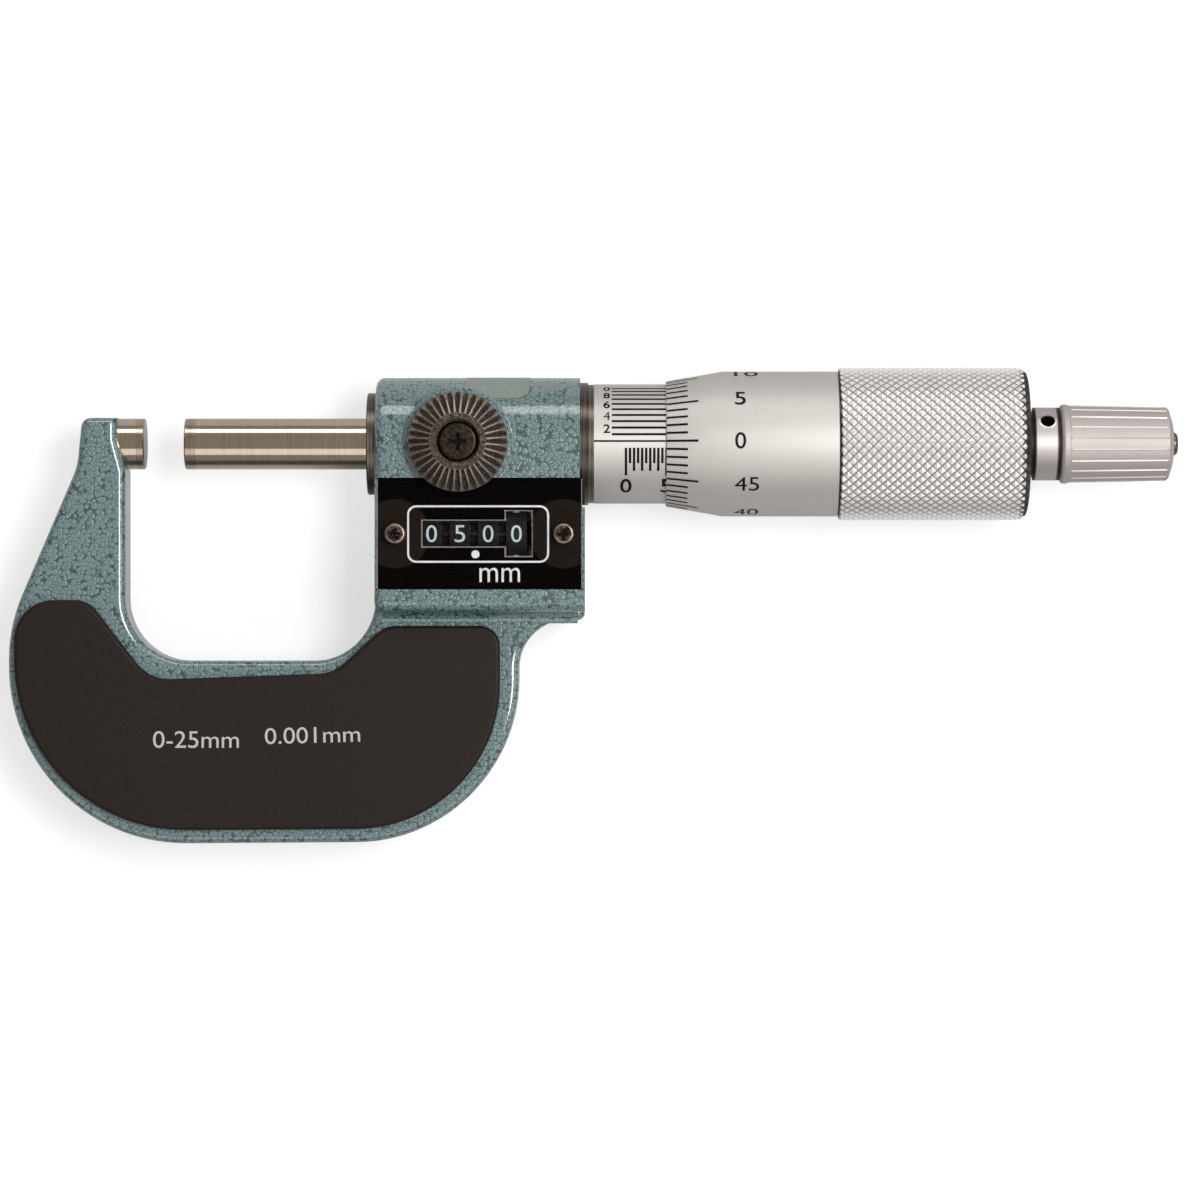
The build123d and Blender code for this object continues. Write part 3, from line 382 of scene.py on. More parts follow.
fade = noise_node(tree, place, 1400.0, 1.0).outputs["Fac"]
seam_width = map_range(tree, fade, 0.35, 0.7, 0.09, 0.22)
from_seam = math_node(tree, "DIVIDE", cell_distance("DISTANCE_TO_EDGE"), seam_width)
from_corner = map_range(tree, cell_distance("F1"), 0.75, 0.46)
cell_height = math_node(tree, "MINIMUM", from_seam, from_corner)
# The paler ring at 0.78 is a painted highlight on each cell.
shade_ramp(enamel, cell_height, ((0.0, seam_paint), (0.4, cell_flank), (0.78, cell_highlight_ring), (1.0, cell_heart)))
roughness_between(enamel, cell_height, 0.45, 0.30)
bump(enamel, cell_height, 0.04 * mm, 0.8)
dress(["frame"], enamel)
print("enamel cells about", round(1000 / cell_scale, 2), "mm")

# %% [markdown]
# ## Moulded grips
# The plates that keep the hand's warmth off the frame are a dark brown-black moulding with a
# fine dull grain. Noise gives the grain, both as slight relief and as uneven gloss.

# %% Grip material
grip = finish(
    "moulded grip",
    grain_group,
    5200.0,
    ((0.0105, 0.0074, 0.0059), (0.0165, 0.0115, 0.0092)),
    rough=(0.40, 0.55),
    relief=0.02 * mm,
    strength=0.6,
    specular=0.13,
)
dress(["front_grip_plate", "rear_grip_plate"], grip)
print("grip plates dressed")

# %% [markdown]
# ## Steels
# Six steels differ in colour and in how finely they were worked. The anvil and spindle are
# ground and almost mirror-like, their hard tips a shade browner. The sleeve and thimble are
# satin chrome, which spreads the lamps into one broad soft band. The bush, collar and ring are
# dark machined steel. The knurl's steel gets its colour further down, and the last steel is for
# the adjusting nut and the rim of the spanner hole. Turned lines give each its marks around the
# axis.

# %% Steel materials


def turned_steel(name, line_scale, colours, rough, relief, metallic=1.0):
    """A metal with turned lines around the spindle's axis."""
    return finish(name, lines_group, line_scale, colours, rough, metallic, relief, strength=0.6)


ground_steel = turned_steel(
    "ground steel", 9000.0, ((0.46, 0.39, 0.31), (0.58, 0.50, 0.41)), (0.10, 0.14), 0.002 * mm
)
hard_steel = turned_steel(
    "hard tip steel", 9000.0, ((0.36, 0.29, 0.23), (0.46, 0.39, 0.32)), (0.14, 0.22), 0.002 * mm
)
satin_chrome = turned_steel(
    "satin chrome", 11000.0, ((0.52, 0.50, 0.478), (0.562, 0.543, 0.521)), (0.54, 0.60), 0.002 * mm, 0.8
)
knurled_steel = turned_steel("knurled steel", 3000.0, None, (0.27, 0.37), 0.004 * mm, 0.75)
dark_steel = turned_steel(
    "dark machined steel", 3000.0, ((0.020, 0.017, 0.013), (0.21, 0.185, 0.15)), (0.24, 0.38), 0.01 * mm
)
seat_steel = turned_steel(
    "ratchet seat steel", 6000.0, ((0.47, 0.445, 0.43), (0.56, 0.535, 0.52)), (0.28, 0.38), 0.004 * mm
)
dress(["anvil", "spindle", "wheel_shaft", "transfer_shaft", "idler_axle"], ground_steel)
dress(["drive_key", "click_pin", "click_spring"], ground_steel)
dress(["anvil_tip", "spindle_tip"], hard_steel)
dress(["sleeve", "thimble"], satin_chrome)
dress(["spindle_bush", "inner_sleeve", "sleeve_ring", "lock_stem", "ratchet_screw"], dark_steel)
dress(["adjusting_nut"], seat_steel)
steels = (ground_steel, hard_steel, satin_chrome, knurled_steel, dark_steel, seat_steel)
print("steels", [steel.name for steel in steels])

# %% [markdown]
# ## Finishes that follow the shape
# Some finishes change with the distance from an axis. The knurl is darkened with painted shade in
# its valleys and on its rounded end, and is pale on its points. The ratchet's ring is pale on its
# rim and has painted shade beside it, where the light doesn't reach. The lock knob is browned,
# with paler lines along its ridges and its rim that are painted highlights.

# %% Ring and knurl


def object_axes(material):
    """The three Object coordinates of a point, one socket each."""
    tree = material.node_tree
    split = tree.nodes.new("ShaderNodeSeparateXYZ")
    tree.links.new(tree.nodes.new("ShaderNodeTexCoord").outputs["Object"], split.inputs["Vector"])
    return split.outputs


def around(material, across, up, count=1.0):
    """Place the around group on two sockets and return its radius and its wave."""
    placed = material.node_tree.nodes.new("ShaderNodeGroup")
    placed.node_tree = around_group
    placed.inputs["Count"].default_value = count
    material.node_tree.links.new(across, placed.inputs["Across"])
    material.node_tree.links.new(up, placed.inputs["Up"])
    return placed.outputs["Radius"], placed.outputs["Wave"]


def speckle(material, most):
    """The material's own grain as a value from 0 to some most."""
    grain = material.node_tree.nodes["texture"].outputs["Shade"]
    return map_range(material.node_tree, grain, 0.0, 1.0, 0.0, most)


ring_start, ring_end, edge_fade = 110.95 * mm, 113.75 * mm, 0.2 * mm
ring_steel = finish("ratchet ring steel", grain_group, 6000.0, None, (0.46, 0.56), metallic=0.9)
tree = ring_steel.node_tree
ring_axes = object_axes(ring_steel)
ring_radius, _ = around(ring_steel, ring_axes["Y"], ring_axes["Z"])
ring_left = map_range(tree, ring_axes["X"], ring_start, ring_start + edge_fade)
ring_right = map_range(tree, ring_axes["X"], ring_end, ring_end - edge_fade)
ring_outside = map_range(tree, ring_radius, 4.3 * mm, 4.5 * mm)
ring_edges = math_node(tree, "MINIMUM", ring_left, ring_right)
ring_face = math_node(tree, "MULTIPLY", ring_edges, ring_outside)
shade_ramp(ring_steel, ring_face, ((0.0, (0.030, 0.022, 0.021)), (1.0, (0.46, 0.425, 0.413))))
dress(["ratchet_seat"], ring_steel)

knurl_axes = object_axes(knurled_steel)
knurl_radius, _ = around(knurled_steel, knurl_axes["Y"], knurl_axes["Z"])
# Painted shade: the knurl's valleys, and its rounded end, go dark below 9.37 mm.
above_valley = map_range(knurled_steel.node_tree, knurl_radius, 9.265 * mm, 9.37 * mm)
valley_shade, flank, point = (0.05, 0.041, 0.038), (0.52, 0.493, 0.482), (0.94, 0.914, 0.903)
shade_ramp(knurled_steel, above_valley, ((0.0, valley_shade), (0.36, flank), (1.0, point)))
print("ring and knurl shaded")

# %% Cap alloy and lock knob
cap_alloy = finish(
    "blasted alloy",
    grain_group,
    7000.0,
    ((0.40, 0.366, 0.352), (0.48, 0.444, 0.430)),
    (0.58, 0.66),
    metallic=0.8,
    relief=0.01 * mm,
)
# Painted highlight for the faces beside the cap's ribs.
rib_highlight_alloy = finish(
    "painted rib highlight", grain_group, 7000.0, ((0.58, 0.548, 0.533), (0.74, 0.705, 0.690)), (0.52, 0.62), 0.8
)
dress(["ratchet_cap"], cap_alloy)

knob_middle = 39.3 * mm
knob_ridges = 36.0
knob_metal = finish(
    "browned knob metal", grain_group, 3000.0, None, (0.26, 0.42), metallic=0.8, relief=0.01 * mm
)
tree = knob_metal.node_tree
knob_axes = object_axes(knob_metal)
from_knob = math_node(tree, "SUBTRACT", knob_axes["X"], knob_middle)
knob_radius, knob_wave = around(knob_metal, from_knob, knob_axes["Y"], knob_ridges)
# The paler lines along the ridges and round the rim are painted highlights.
ridge_wave = map_range(tree, knob_wave, -0.3, -0.95, 0.22, 0.62)
past_crown = map_range(tree, knob_radius, 3.4 * mm, 3.6 * mm)
knob_ridge_highlight = math_node(tree, "MULTIPLY", ridge_wave, past_crown)
knob_rim_highlight = map_range(tree, knob_radius, 5.85 * mm, 6.1 * mm, 0.0, 0.4)
knob_highlight = math_node(tree, "MAXIMUM", knob_ridge_highlight, knob_rim_highlight)
knob_shade = math_node(tree, "ADD", knob_highlight, speckle(knob_metal, 0.4))
knob_stops = (
    (0.0, (0.024, 0.019, 0.016)),
    (0.25, (0.055, 0.045, 0.038)),
    (0.55, (0.195, 0.162, 0.139)),
    (1.0, (0.30, 0.262, 0.23)),
)
shade_ramp(knob_metal, knob_shade, knob_stops)
dress(["lock_knob"], knob_metal)
print("knob ridges", knob_ridges)

# %% [markdown]
# ## Screws and counter
# The screws are browned, and the cross in their heads is darkened as painted shade. The cover's
# two screws have rims painted paler as a highlight, and paler rounds on the black mask around
# them are a painted reflection. Gears are cut brass, darkened as painted shade inside the
# housing, the bracket is pressed sheet, and the number wheels are black mouldings.

# %% Screw heads and mask
cover_middle, screw_aside, cover_height = 41.9 * mm, 10.4 * mm, -11.3 * mm
screw_head_radius = 1.3 * mm


def from_cover_screws(material, axes):
    """The distance from the nearer one of the cover's two screws."""
    tree = material.node_tree
    aside = math_node(tree, "ABSOLUTE", math_node(tree, "SUBTRACT", axes["X"], cover_middle))
    across = math_node(tree, "SUBTRACT", aside, screw_aside)
    up = math_node(tree, "SUBTRACT", axes["Y"], cover_height)
    return around(material, across, up)[0]


def screw_finish(name, dark, light, recess_floor, head_top, rim_highlight=False):
    """Browned steel whose cross recess, below the head's face, is darkened as painted shade."""
    material = finish(name, grain_group, 2200.0, None, (0.25, 0.42), metallic=0.9, relief=0.01 * mm)
    tree = material.node_tree
    axes = object_axes(material)
    # Painted shade: below the head's face the cross recess goes dark.
    level = map_range(tree, axes["Z"], recess_floor, head_top, 0.0, 0.5)
    # The cover screws get a painted highlight on the rim and a darker middle.
    if rim_highlight:
        rim_start, rim_full = screw_head_radius * 0.72, screw_head_radius * 0.82
        rim_highlight_mask = map_range(tree, from_cover_screws(material, axes), rim_start, rim_full, 0.42, 1.35)
        level = math_node(tree, "MULTIPLY", level, rim_highlight_mask)
    shade = math_node(tree, "ADD", level, speckle(material, 0.4))
    shade_ramp(material, shade, ((0.26, (0.004, 0.003, 0.003)), (0.36, dark), (1.0, light)))
    return material


lock_screw_steel = screw_finish(
    "lock screw steel", (0.005, 0.0035, 0.0022), (0.038, 0.027, 0.019), 11.2 * mm, 11.62 * mm
)
cover_screw_steel = screw_finish(
    "cover screw steel", (0.006, 0.0045, 0.003), (0.30, 0.235, 0.19), 8.6 * mm, 8.78 * mm, rim_highlight=True
)
dress(["lock_screw"], lock_screw_steel)
dress(["cover_screws"], cover_screw_steel)

black_mask = finish("black mask", grain_group, 3000.0, None, (0.10, 0.16), specular=0.04)
tree = black_mask.node_tree
# Paler rounds around the cover's two screws are a painted reflection.
screw_distance = from_cover_screws(black_mask, object_axes(black_mask))
reflection_disc = map_range(tree, screw_distance, 4.35 * mm, 4.2 * mm, 0.0, 0.8)
mask_shade = math_node(tree, "ADD", reflection_disc, speckle(black_mask, 0.2))
mask_stops = ((0.0, (0.0012, 0.0008, 0.0008)), (0.2, (0.003, 0.002, 0.002)), (1.0, (0.017, 0.0128, 0.009)))
shade_ramp(black_mask, mask_shade, mask_stops)
dress(["dial_mask"], black_mask)
print("screws and mask dressed")

# %% Gears, bracket and wheels
# Painted shade: the brass is darkened so the gears read as lying in the housing's shade.
brass = finish(
    "brass darkened as painted shade",
    grain_group,
    3000.0,
    ((0.20, 0.135, 0.055), (0.34, 0.24, 0.11)),
    (0.25, 0.38),
    metallic=1.0,
)
sheet = finish(
    "pressed sheet steel",
    grain_group,
    2500.0,
    ((0.48, 0.48, 0.47), (0.60, 0.60, 0.59)),
    (0.34, 0.48),
    metallic=1.0,
)
wheel_black = finish(
    "black number wheel",
    grain_group,
    3500.0,
    ((0.0025, 0.0022, 0.002), (0.006, 0.005, 0.005)),
    (0.4, 0.6),
    specular=0.05,
)
dress(["drive_gear", "idler_gear", "lock_pad", *(f"transfer_pinion_{n}" for n in (1, 2, 3))], brass)
dress(["counter_bracket", "bracket_screws"], sheet)
# The input gear is brass, dressed in the wheels' black as painted shade.
dress(["tens_wheel", "units_wheel", "tenths_wheel", "hundredths_wheel", "input_gear"], wheel_black)
print("counter dressed")

# %% [markdown]
# ## Clear cover
# The counter looks through a clear plate. Glass in a path tracer blocks the light of lamps, so
# what lies under it would come out black. The material lets only the shadow rays straight
# through, and everything else sees ordinary clear plastic.

# %% Clear cover material
clear = new_material(
    "clear cover", {"Base Color": (1, 1, 1, 1), "Roughness": 0.03, "Transmission Weight": 1.0, "IOR": 1.13}
)
tree = clear.node_tree
mix = tree.nodes.new("ShaderNodeMixShader")
tree.links.new(tree.nodes.new("ShaderNodeLightPath").outputs["Is Shadow Ray"], mix.inputs["Fac"])
tree.links.new(principled(clear).outputs["BSDF"], mix.inputs[1])
tree.links.new(tree.nodes.new("ShaderNodeBsdfTransparent").outputs["BSDF"], mix.inputs[2])
tree.links.new(mix.outputs["Shader"], tree.nodes["Material Output"].inputs["Surface"])
dress(["window_plate"], clear)
print("undressed nodes", [name for name, node in nodes.items() if not node.data.materials])

# %% [markdown]
# ## Knurled thimble
# On the real thimble a pair of angled wheels is pressed into the turned band. They leave rows of
# small four-sided pyramids. A turned profile is spun around the spindle's axis in 96 steps, and
# inside the band it has a point every half diamond. Every second point is a groove crossing: it
# is moved in, and an edge between neighbouring crossings turns each square into two facets. So
# the knurl is real relief with crisp facets, 48 diamonds round, from one spin.

# %% Thimble profile
thimble_edge = 65.0 * mm
taper_end = 72.06 * mm
knurl_start = 86.56 * mm
knurl_end = 110.46 * mm
edge_radius = 7.8 * mm
edge_bevel = 0.06 * mm
plain_radius = 9.05 * mm
peak_radius = 9.57 * mm
bore_radius = 7.55 * mm
cavity_end = 106.96 * mm
end_hole_radius = 3.195 * mm
knurl_depth = 0.30 * mm
relief_start = knurl_start - 0.22 * mm
relief_floor = knurl_start - 0.16 * mm
relief_radius = plain_radius - 0.22 * mm
end_round = 1.1 * mm
boss_length = 0.45 * mm
boss_radius = 4.0 * mm
band_end = knurl_end - boss_length
steps_round = 96
columns = 38
first_column = knurl_start + 0.25 * mm
last_column = band_end - 0.12 * mm
column_step = (last_column - first_column) / columns


def band_radius(x):
    """The knurled band's outer radius, with its rounded far corner."""
    into_corner = x - (band_end - end_round)
    if into_corner <= 0:
        return peak_radius
    return peak_radius - end_round + math.sqrt(max(end_round**2 - into_corner**2, 0))


def thimble_radius(x):
    """The plain part's radius: a taper at the graduated edge, then a cylinder."""
    part = min(max((x - thimble_edge) / (taper_end - thimble_edge), 0), 1)
    return edge_radius + part * (plain_radius - edge_radius)


profile = [
    (thimble_edge, bore_radius),
    (thimble_edge, edge_radius - edge_bevel),
    (thimble_edge + edge_bevel, edge_radius),
    (taper_end, plain_radius),
    (relief_start, plain_radius),
    (relief_floor, relief_radius),
    (knurl_start, relief_radius),
    (knurl_start + 0.02 * mm, peak_radius - knurl_depth),
]
for column in range(columns + 1):
    column_x = first_column + column * column_step
    profile.append((column_x, band_radius(column_x)))
profile += [
    (band_end, band_radius(last_column) - 0.35 * mm),
    (band_end, boss_radius),
    (knurl_end, boss_radius),
    (knurl_end, end_hole_radius),
    (cavity_end, end_hole_radius),
    (cavity_end, bore_radius),
]
print("profile points", len(profile), "column", round(column_step / mm, 3), "mm")

# %% Spin and cut the knurl


def spin_profile(points, steps):
    """A closed ring of points (x, radius) spun once around the spindle's axis."""
    shape = bmesh.new()
    ring = [shape.verts.new((x, radius, 0)) for x, radius in points]
    edges = [shape.edges.new((a, b)) for a, b in zip(ring, ring[1:] + ring[:1])]
    bmesh.ops.spin(
        shape,
        geom=ring + edges,
        cent=(0, 0, 0),
        axis=(1, 0, 0),
        angle=math.tau,
        steps=steps,
        use_merge=True,
    )
    bmesh.ops.remove_doubles(shape, verts=shape.verts, dist=0.001 * mm)
    bmesh.ops.recalc_face_normals(shape, faces=shape.faces)
    return shape


def step_round(point, steps):
    """How many steps round the spindle's axis a point stands."""
    return math.atan2(point.z, point.y) / math.tau * steps


def move_out(vert, distance):
    """Move a point away from the spindle's axis, or towards it where the distance is negative."""
    radius = vert.co.yz.length
    grow = (radius + distance) / radius
    vert.co.y *= grow
    vert.co.z *= grow


def add_piece(name, shape, material, body, crease=None):
    """Turn a bmesh into a finished piece that rides on a body."""
    mesh = bpy.data.meshes.new(name)
    shape.to_mesh(mesh)
    shape.free()
    mesh.materials.append(material)
    piece = bpy.data.objects.new(name, mesh)
    scene.collection.objects.link(piece)
    if crease is not None:
        mesh.shade_smooth()
        mesh.set_sharp_from_angle(angle=math.radians(crease))
    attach(piece, body)
    return piece


outer_skin = plain_radius - 0.6 * mm
thimble_shape = spin_profile(profile, steps_round)
crossings = []
for vert in thimble_shape.verts:
    column = (vert.co.x - first_column) / column_step
    if vert.co.yz.length > outer_skin and -0.1 < column < columns + 0.1:
        if (round(column) + round(step_round(vert.co, steps_round))) % 2:
            crossings.append(vert)
for vert in crossings:
    move_out(vert, -knurl_depth)
bmesh.ops.connect_verts(thimble_shape, verts=crossings)
knurled_thimble = add_piece(
    "knurled_thimble", thimble_shape, satin_chrome, "spindle", crease=22
)
knurled_thimble.data.materials.append(knurled_steel)
knurled_thimble.data.materials.append(ring_steel)
for face in knurled_thimble.data.polygons:
    face_radius = face.center.yz.length
    if face.center.x > relief_floor and face_radius > outer_skin:
        face.material_index = 1
    # The end boss takes the ring steel, whose painted shade darkens it here.
    if face.center.x > band_end + 0.01 * mm and face_radius > end_hole_radius:
        face.material_index = 2
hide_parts("thimble")
print("crossings", len(crossings), "faces", len(knurled_thimble.data.polygons))

# %% [markdown]
# ## Print and engraving
# Lines and figures are filled with ink and stand level with the metal. They are made flat, cut
# into narrow strips and rolled around the spindle's axis, a hundredth of a millimetre proud so
# that they never flicker through the metal. Blender's own sans font is close to the plain
# figures of the photograph; each label is stretched to the height and width measured there.

# %% Inks
ink_colours = {
    "black ink": ((0.003, 0.002, 0.002), (0.008, 0.006, 0.006)),
    "white ink": ((0.34, 0.345, 0.34), (0.44, 0.445, 0.44)),
    "wheel figure ink": ((0.24, 0.285, 0.285), (0.32, 0.375, 0.375)),
}
black_ink, white_ink, figure_ink = (
    finish(name, grain_group, 6000.0, colours, (0.4, 0.6), specular=0.1)
    for name, colours in ink_colours.items()
)
ink_lift = 0.012 * mm
strip_width = 0.35 * mm
print("inks", list(ink_colours))

# %% Flat shapes and rolling


def move(shape, x, y, z=0.0):
    """Move a whole shape and hand it back."""
    bmesh.ops.translate(shape, verts=shape.verts, vec=(x, y, z))
    return shape


def flat_text(text, height, width, bold=0.0):
    """A flat text with its middle on the origin, stretched to a height and a width."""
    curve = bpy.data.curves.new(text, "FONT")
    curve.body = text
    # A widened outline would close the hole of a 4, so a text with a 4 keeps its plain weight.
    curve.offset = 0.0 if "4" in text and bold > 0 else bold
    writer = bpy.data.objects.new(text, curve)
    mesh = bpy.data.meshes.new_from_object(writer)
    bpy.data.objects.remove(writer)
    bpy.data.curves.remove(curve)
    shape = bmesh.new()
    shape.from_mesh(mesh)
    bpy.data.meshes.remove(mesh)
    low = Vector([min(v.co[axis] for v in shape.verts) for axis in range(3)])
    high = Vector([max(v.co[axis] for v in shape.verts) for axis in range(3)])
    stretch = (width / (high.x - low.x), height / (high.y - low.y), 1)
    move(shape, *(-(low + high) / 2))
    bmesh.ops.scale(shape, verts=shape.verts, vec=stretch)
    return shape


def flat_plate(length, width, x=0.0, y=0.0):
    """A flat plate with its middle on a point."""
    shape = bmesh.new()
    bmesh.ops.create_grid(shape, x_segments=1, y_segments=1, size=0.5)
    bmesh.ops.scale(shape, verts=shape.verts, vec=(length, width, 1))
    return move(shape, x, y)


def cut_strips(shape, axis, step):
    """Cut a flat shape across one axis so that it can bend."""
    low = min(v.co[axis] for v in shape.verts)
    high = max(v.co[axis] for v in shape.verts)
    normal = Vector((0, 0, 0))
    normal[axis] = 1
    for k in range(math.floor(low / step) + 1, math.ceil(high / step)):
        bmesh.ops.bisect_plane(
            shape,
            geom=shape.verts[:] + shape.edges[:] + shape.faces[:],
            plane_co=normal * (k * step),
            plane_no=normal,
        )


def cylinder(radius):
    """The radius along a straight cylinder, which is the same everywhere."""
    return lambda x: radius


def roll(shape, x, angle, radius_at, centre=(0.0, 0.0), lift=ink_lift):
    """Roll a flat shape: its X lies along the axis from x, its Y runs round from an angle."""
    cut_strips(shape, 1, strip_width)
    nominal = radius_at(x)
    for vert in shape.verts:
        along = x + vert.co.x
        radius = radius_at(along) + lift
        turned = math.radians(angle) + vert.co.y / nominal
        vert.co = (along, centre[0] + radius * math.sin(turned), centre[1] + radius * math.cos(turned))
    return shape


def gather(shapes):
    """Join several shapes into one."""
    whole = bmesh.new()
    for shape in shapes:
        mesh = bpy.data.meshes.new("part")
        shape.to_mesh(mesh)
        shape.free()
        whole.from_mesh(mesh)
        bpy.data.meshes.remove(mesh)
    return whole


# %% [markdown]
# ## Sleeve scale and vernier
# The sleeve carries the index line, half-millimetre marks below it with a longer one at each
# millimetre and the longest at each fifth, and ten vernier lines above it, numbered every
# second one. A vernier step is nine tenths of a thimble division, so the angle between its lines
# is nine tenths of 7.2 degrees. The index sits just above the middle, as in the photograph.

# %% Sleeve print
sleeve_radius = 7.45 * mm
sleeve_start, sleeve_end = 56.05 * mm, 86.5 * mm
zero_line = 60.0 * mm
index_angle = 1.1
index_width = 0.23 * mm
mark_width = 0.31 * mm
division_angle = 360 / 50
half_mark_top, half_mark_end, full_mark_end, fifth_mark_end = -5.3, -20.3, -28.3, -33.2
sleeve_label_angle = -46.3
digit_height, digit_width, digit_gap = 2.4 * mm, 1.42 * mm, 0.3 * mm
vernier_step = division_angle * 9 / 10
vernier_start, vernier_end = 58.25 * mm, 66.5 * mm
vernier_width = 0.29 * mm
vernier_label_x, vernier_label_drop = 57.62 * mm, 1.0
vernier_digit_height, vernier_digit_width = 1.14 * mm, 0.82 * mm


def flat_bar(length, width):
    """A flat bar along X with its left end on the origin."""
    return flat_plate(length, width, length / 2)


on_sleeve = cylinder(sleeve_radius)
index_line = flat_bar(sleeve_end - sleeve_start, index_width)
sleeve_print = [roll(index_line, sleeve_start, index_angle, on_sleeve)]
for half in range(51):
    end_angle = fifth_mark_end if half % 10 == 0 else full_mark_end if half % 2 == 0 else half_mark_end
    mark = flat_plate(mark_width, math.radians(half_mark_top - end_angle) * sleeve_radius)
    middle_angle = (half_mark_top + end_angle) / 2
    sleeve_print.append(roll(mark, zero_line + half * 0.5 * mm, middle_angle, on_sleeve))
for label in range(0, 26, 5):
    digits = str(label)
    wide = digit_width * len(digits) + digit_gap * (len(digits) - 1)
    figure = flat_text(digits, digit_height, wide, bold=0.013)
    sleeve_print.append(roll(figure, zero_line + label * mm, sleeve_label_angle, on_sleeve))
for line in range(1, 11):
    line_angle = index_angle + line * vernier_step
    bar = flat_bar(vernier_end - vernier_start, vernier_width)
    sleeve_print.append(roll(bar, vernier_start, line_angle, on_sleeve))
    if line % 2 == 0:
        figure = flat_text(str(line % 10), vernier_digit_height, vernier_digit_width, bold=0.02)
        sleeve_print.append(roll(figure, vernier_label_x, line_angle - vernier_label_drop, on_sleeve))
add_piece("sleeve_scale", gather(sleeve_print), black_ink, "frame")
print("sleeve marks", len(sleeve_print))

# %% [markdown]
# ## Thimble scale
# Fifty divisions run round the thimble's tapered edge. Every fifth is longer, and its number
# stands on the plain part behind it. The number rises with the angle, so that 5 is above the
# index line and 45 below it. The zero meets the index line at the reading in the photograph.

# %% Thimble print
division_width = 0.27 * mm
long_division, short_division = 3.9 * mm, 2.6 * mm
thimble_digit_height, thimble_digit_width, thimble_digit_gap = 2.05 * mm, 1.36 * mm, 0.28 * mm
thimble_label_x = 73.45 * mm
thimble_print = []
for division in range(50):
    long_mark = division % 5 == 0
    bar = flat_bar(long_division if long_mark else short_division, division_width)
    cut_strips(bar, 0, 1.0 * mm)
    angle = index_angle + division * division_angle
    thimble_print.append(roll(bar, thimble_edge + 0.05 * mm, angle, thimble_radius))
    if long_mark:
        digits = str(division)
        wide = thimble_digit_width * len(digits) + thimble_digit_gap * (len(digits) - 1)
        figure = move(flat_text(digits, thimble_digit_height, wide, bold=0.008), wide / 2, 0)
        thimble_print.append(roll(figure, thimble_label_x, angle, thimble_radius))
add_piece("thimble_scale", gather(thimble_print), black_ink, "spindle")
print("thimble marks", len(thimble_print))

# %% [markdown]
# ## Number wheels
# Each wheel carries the figures 0 to 9 around its rim, 36 degrees apart. The figures ride with
# their wheel, so the counter really counts when the spindle turns. At rest the four wheels show
# 0, 5, 0 and 0.

# %% Wheel figures
on_wheel = cylinder(6.0 * mm)
wheel_axis = (cover_height, 0.45 * mm)
figure_height, figure_width, one_width = 2.1 * mm, 1.3 * mm, 0.7 * mm
wheels = (
    ("tens", 35.95 * mm, 0),
    ("units", 39.45 * mm, 5),
    ("tenths", 42.95 * mm, 0),
    ("hundredths", 46.45 * mm, 0),
)
for wheel_name, wheel_middle, shown in wheels:
    figures = []
    for digit in range(10):
        wide = one_width if digit == 1 else figure_width
        figure = flat_text(str(digit), figure_height, wide, bold=-0.004)
        figures.append(roll(figure, wheel_middle, 36 * (digit - shown), on_wheel, wheel_axis))
    add_piece(f"{wheel_name}_figures", gather(figures), figure_ink, wheel_name)
print("wheels", [w[0] for w in wheels])

# %% [markdown]
# ## Print on the mask and the grip
# The mask under the clear cover is printed with a rounded white frame around the stepped window,
# a dot after the second figure, which is the decimal point, and the unit. A thin grey line, a
# painted highlight, is the cut edge of the window, leaning into it; two more at the cover's ends
# are painted highlights on its edges. The grip carries the range and the graduation, which are
# plain technical markings.

# %% Mask print
mask_front = 7.25 * mm
print_level = mask_front + ink_lift
outline_corners = (32.96 * mm, 50.5 * mm, -14.9 * mm, -7.8 * mm)
outline_round, outline_width = 1.15 * mm, 0.24 * mm
dot_place, dot_radius = (41.4 * mm, -13.85 * mm), 0.5 * mm
unit_place, unit_height, unit_width = (44.4 * mm, -16.4 * mm), 1.75 * mm, 5.0 * mm


def rounded_plate(x0, x1, y0, y1, corner):
    """A flat plate between two corners, its four corners rounded."""
    shape = flat_plate(x1 - x0, y1 - y0, (x0 + x1) / 2, (y0 + y1) / 2)
    bmesh.ops.bevel(
        shape,
        geom=shape.verts[:],
        affect="VERTICES",
        offset=corner,
        segments=8,
        profile=0.5,
        material=-1,
    )
    return shape


def only_border(shape, width):
    """Keep only a border of some width of a flat face."""
    inner = shape.faces[:]
    bmesh.ops.inset_region(shape, faces=inner, thickness=width, use_even_offset=True, use_boundary=True)
    bmesh.ops.delete(shape, geom=inner, context="FACES")
    return shape


outline = only_border(rounded_plate(*outline_corners, outline_round), outline_width)
dot = bmesh.new()
bmesh.ops.create_circle(dot, cap_ends=True, segments=32, radius=dot_radius)
move(dot, *dot_place)
unit = move(flat_text("mm", unit_height, unit_width, bold=-0.004), *unit_place)
mask_print = move(gather([outline, dot, unit]), 0, 0, print_level)
add_piece("mask_print", mask_print, white_ink, "frame")
print("mask print at", round(print_level / mm, 3), "mm")

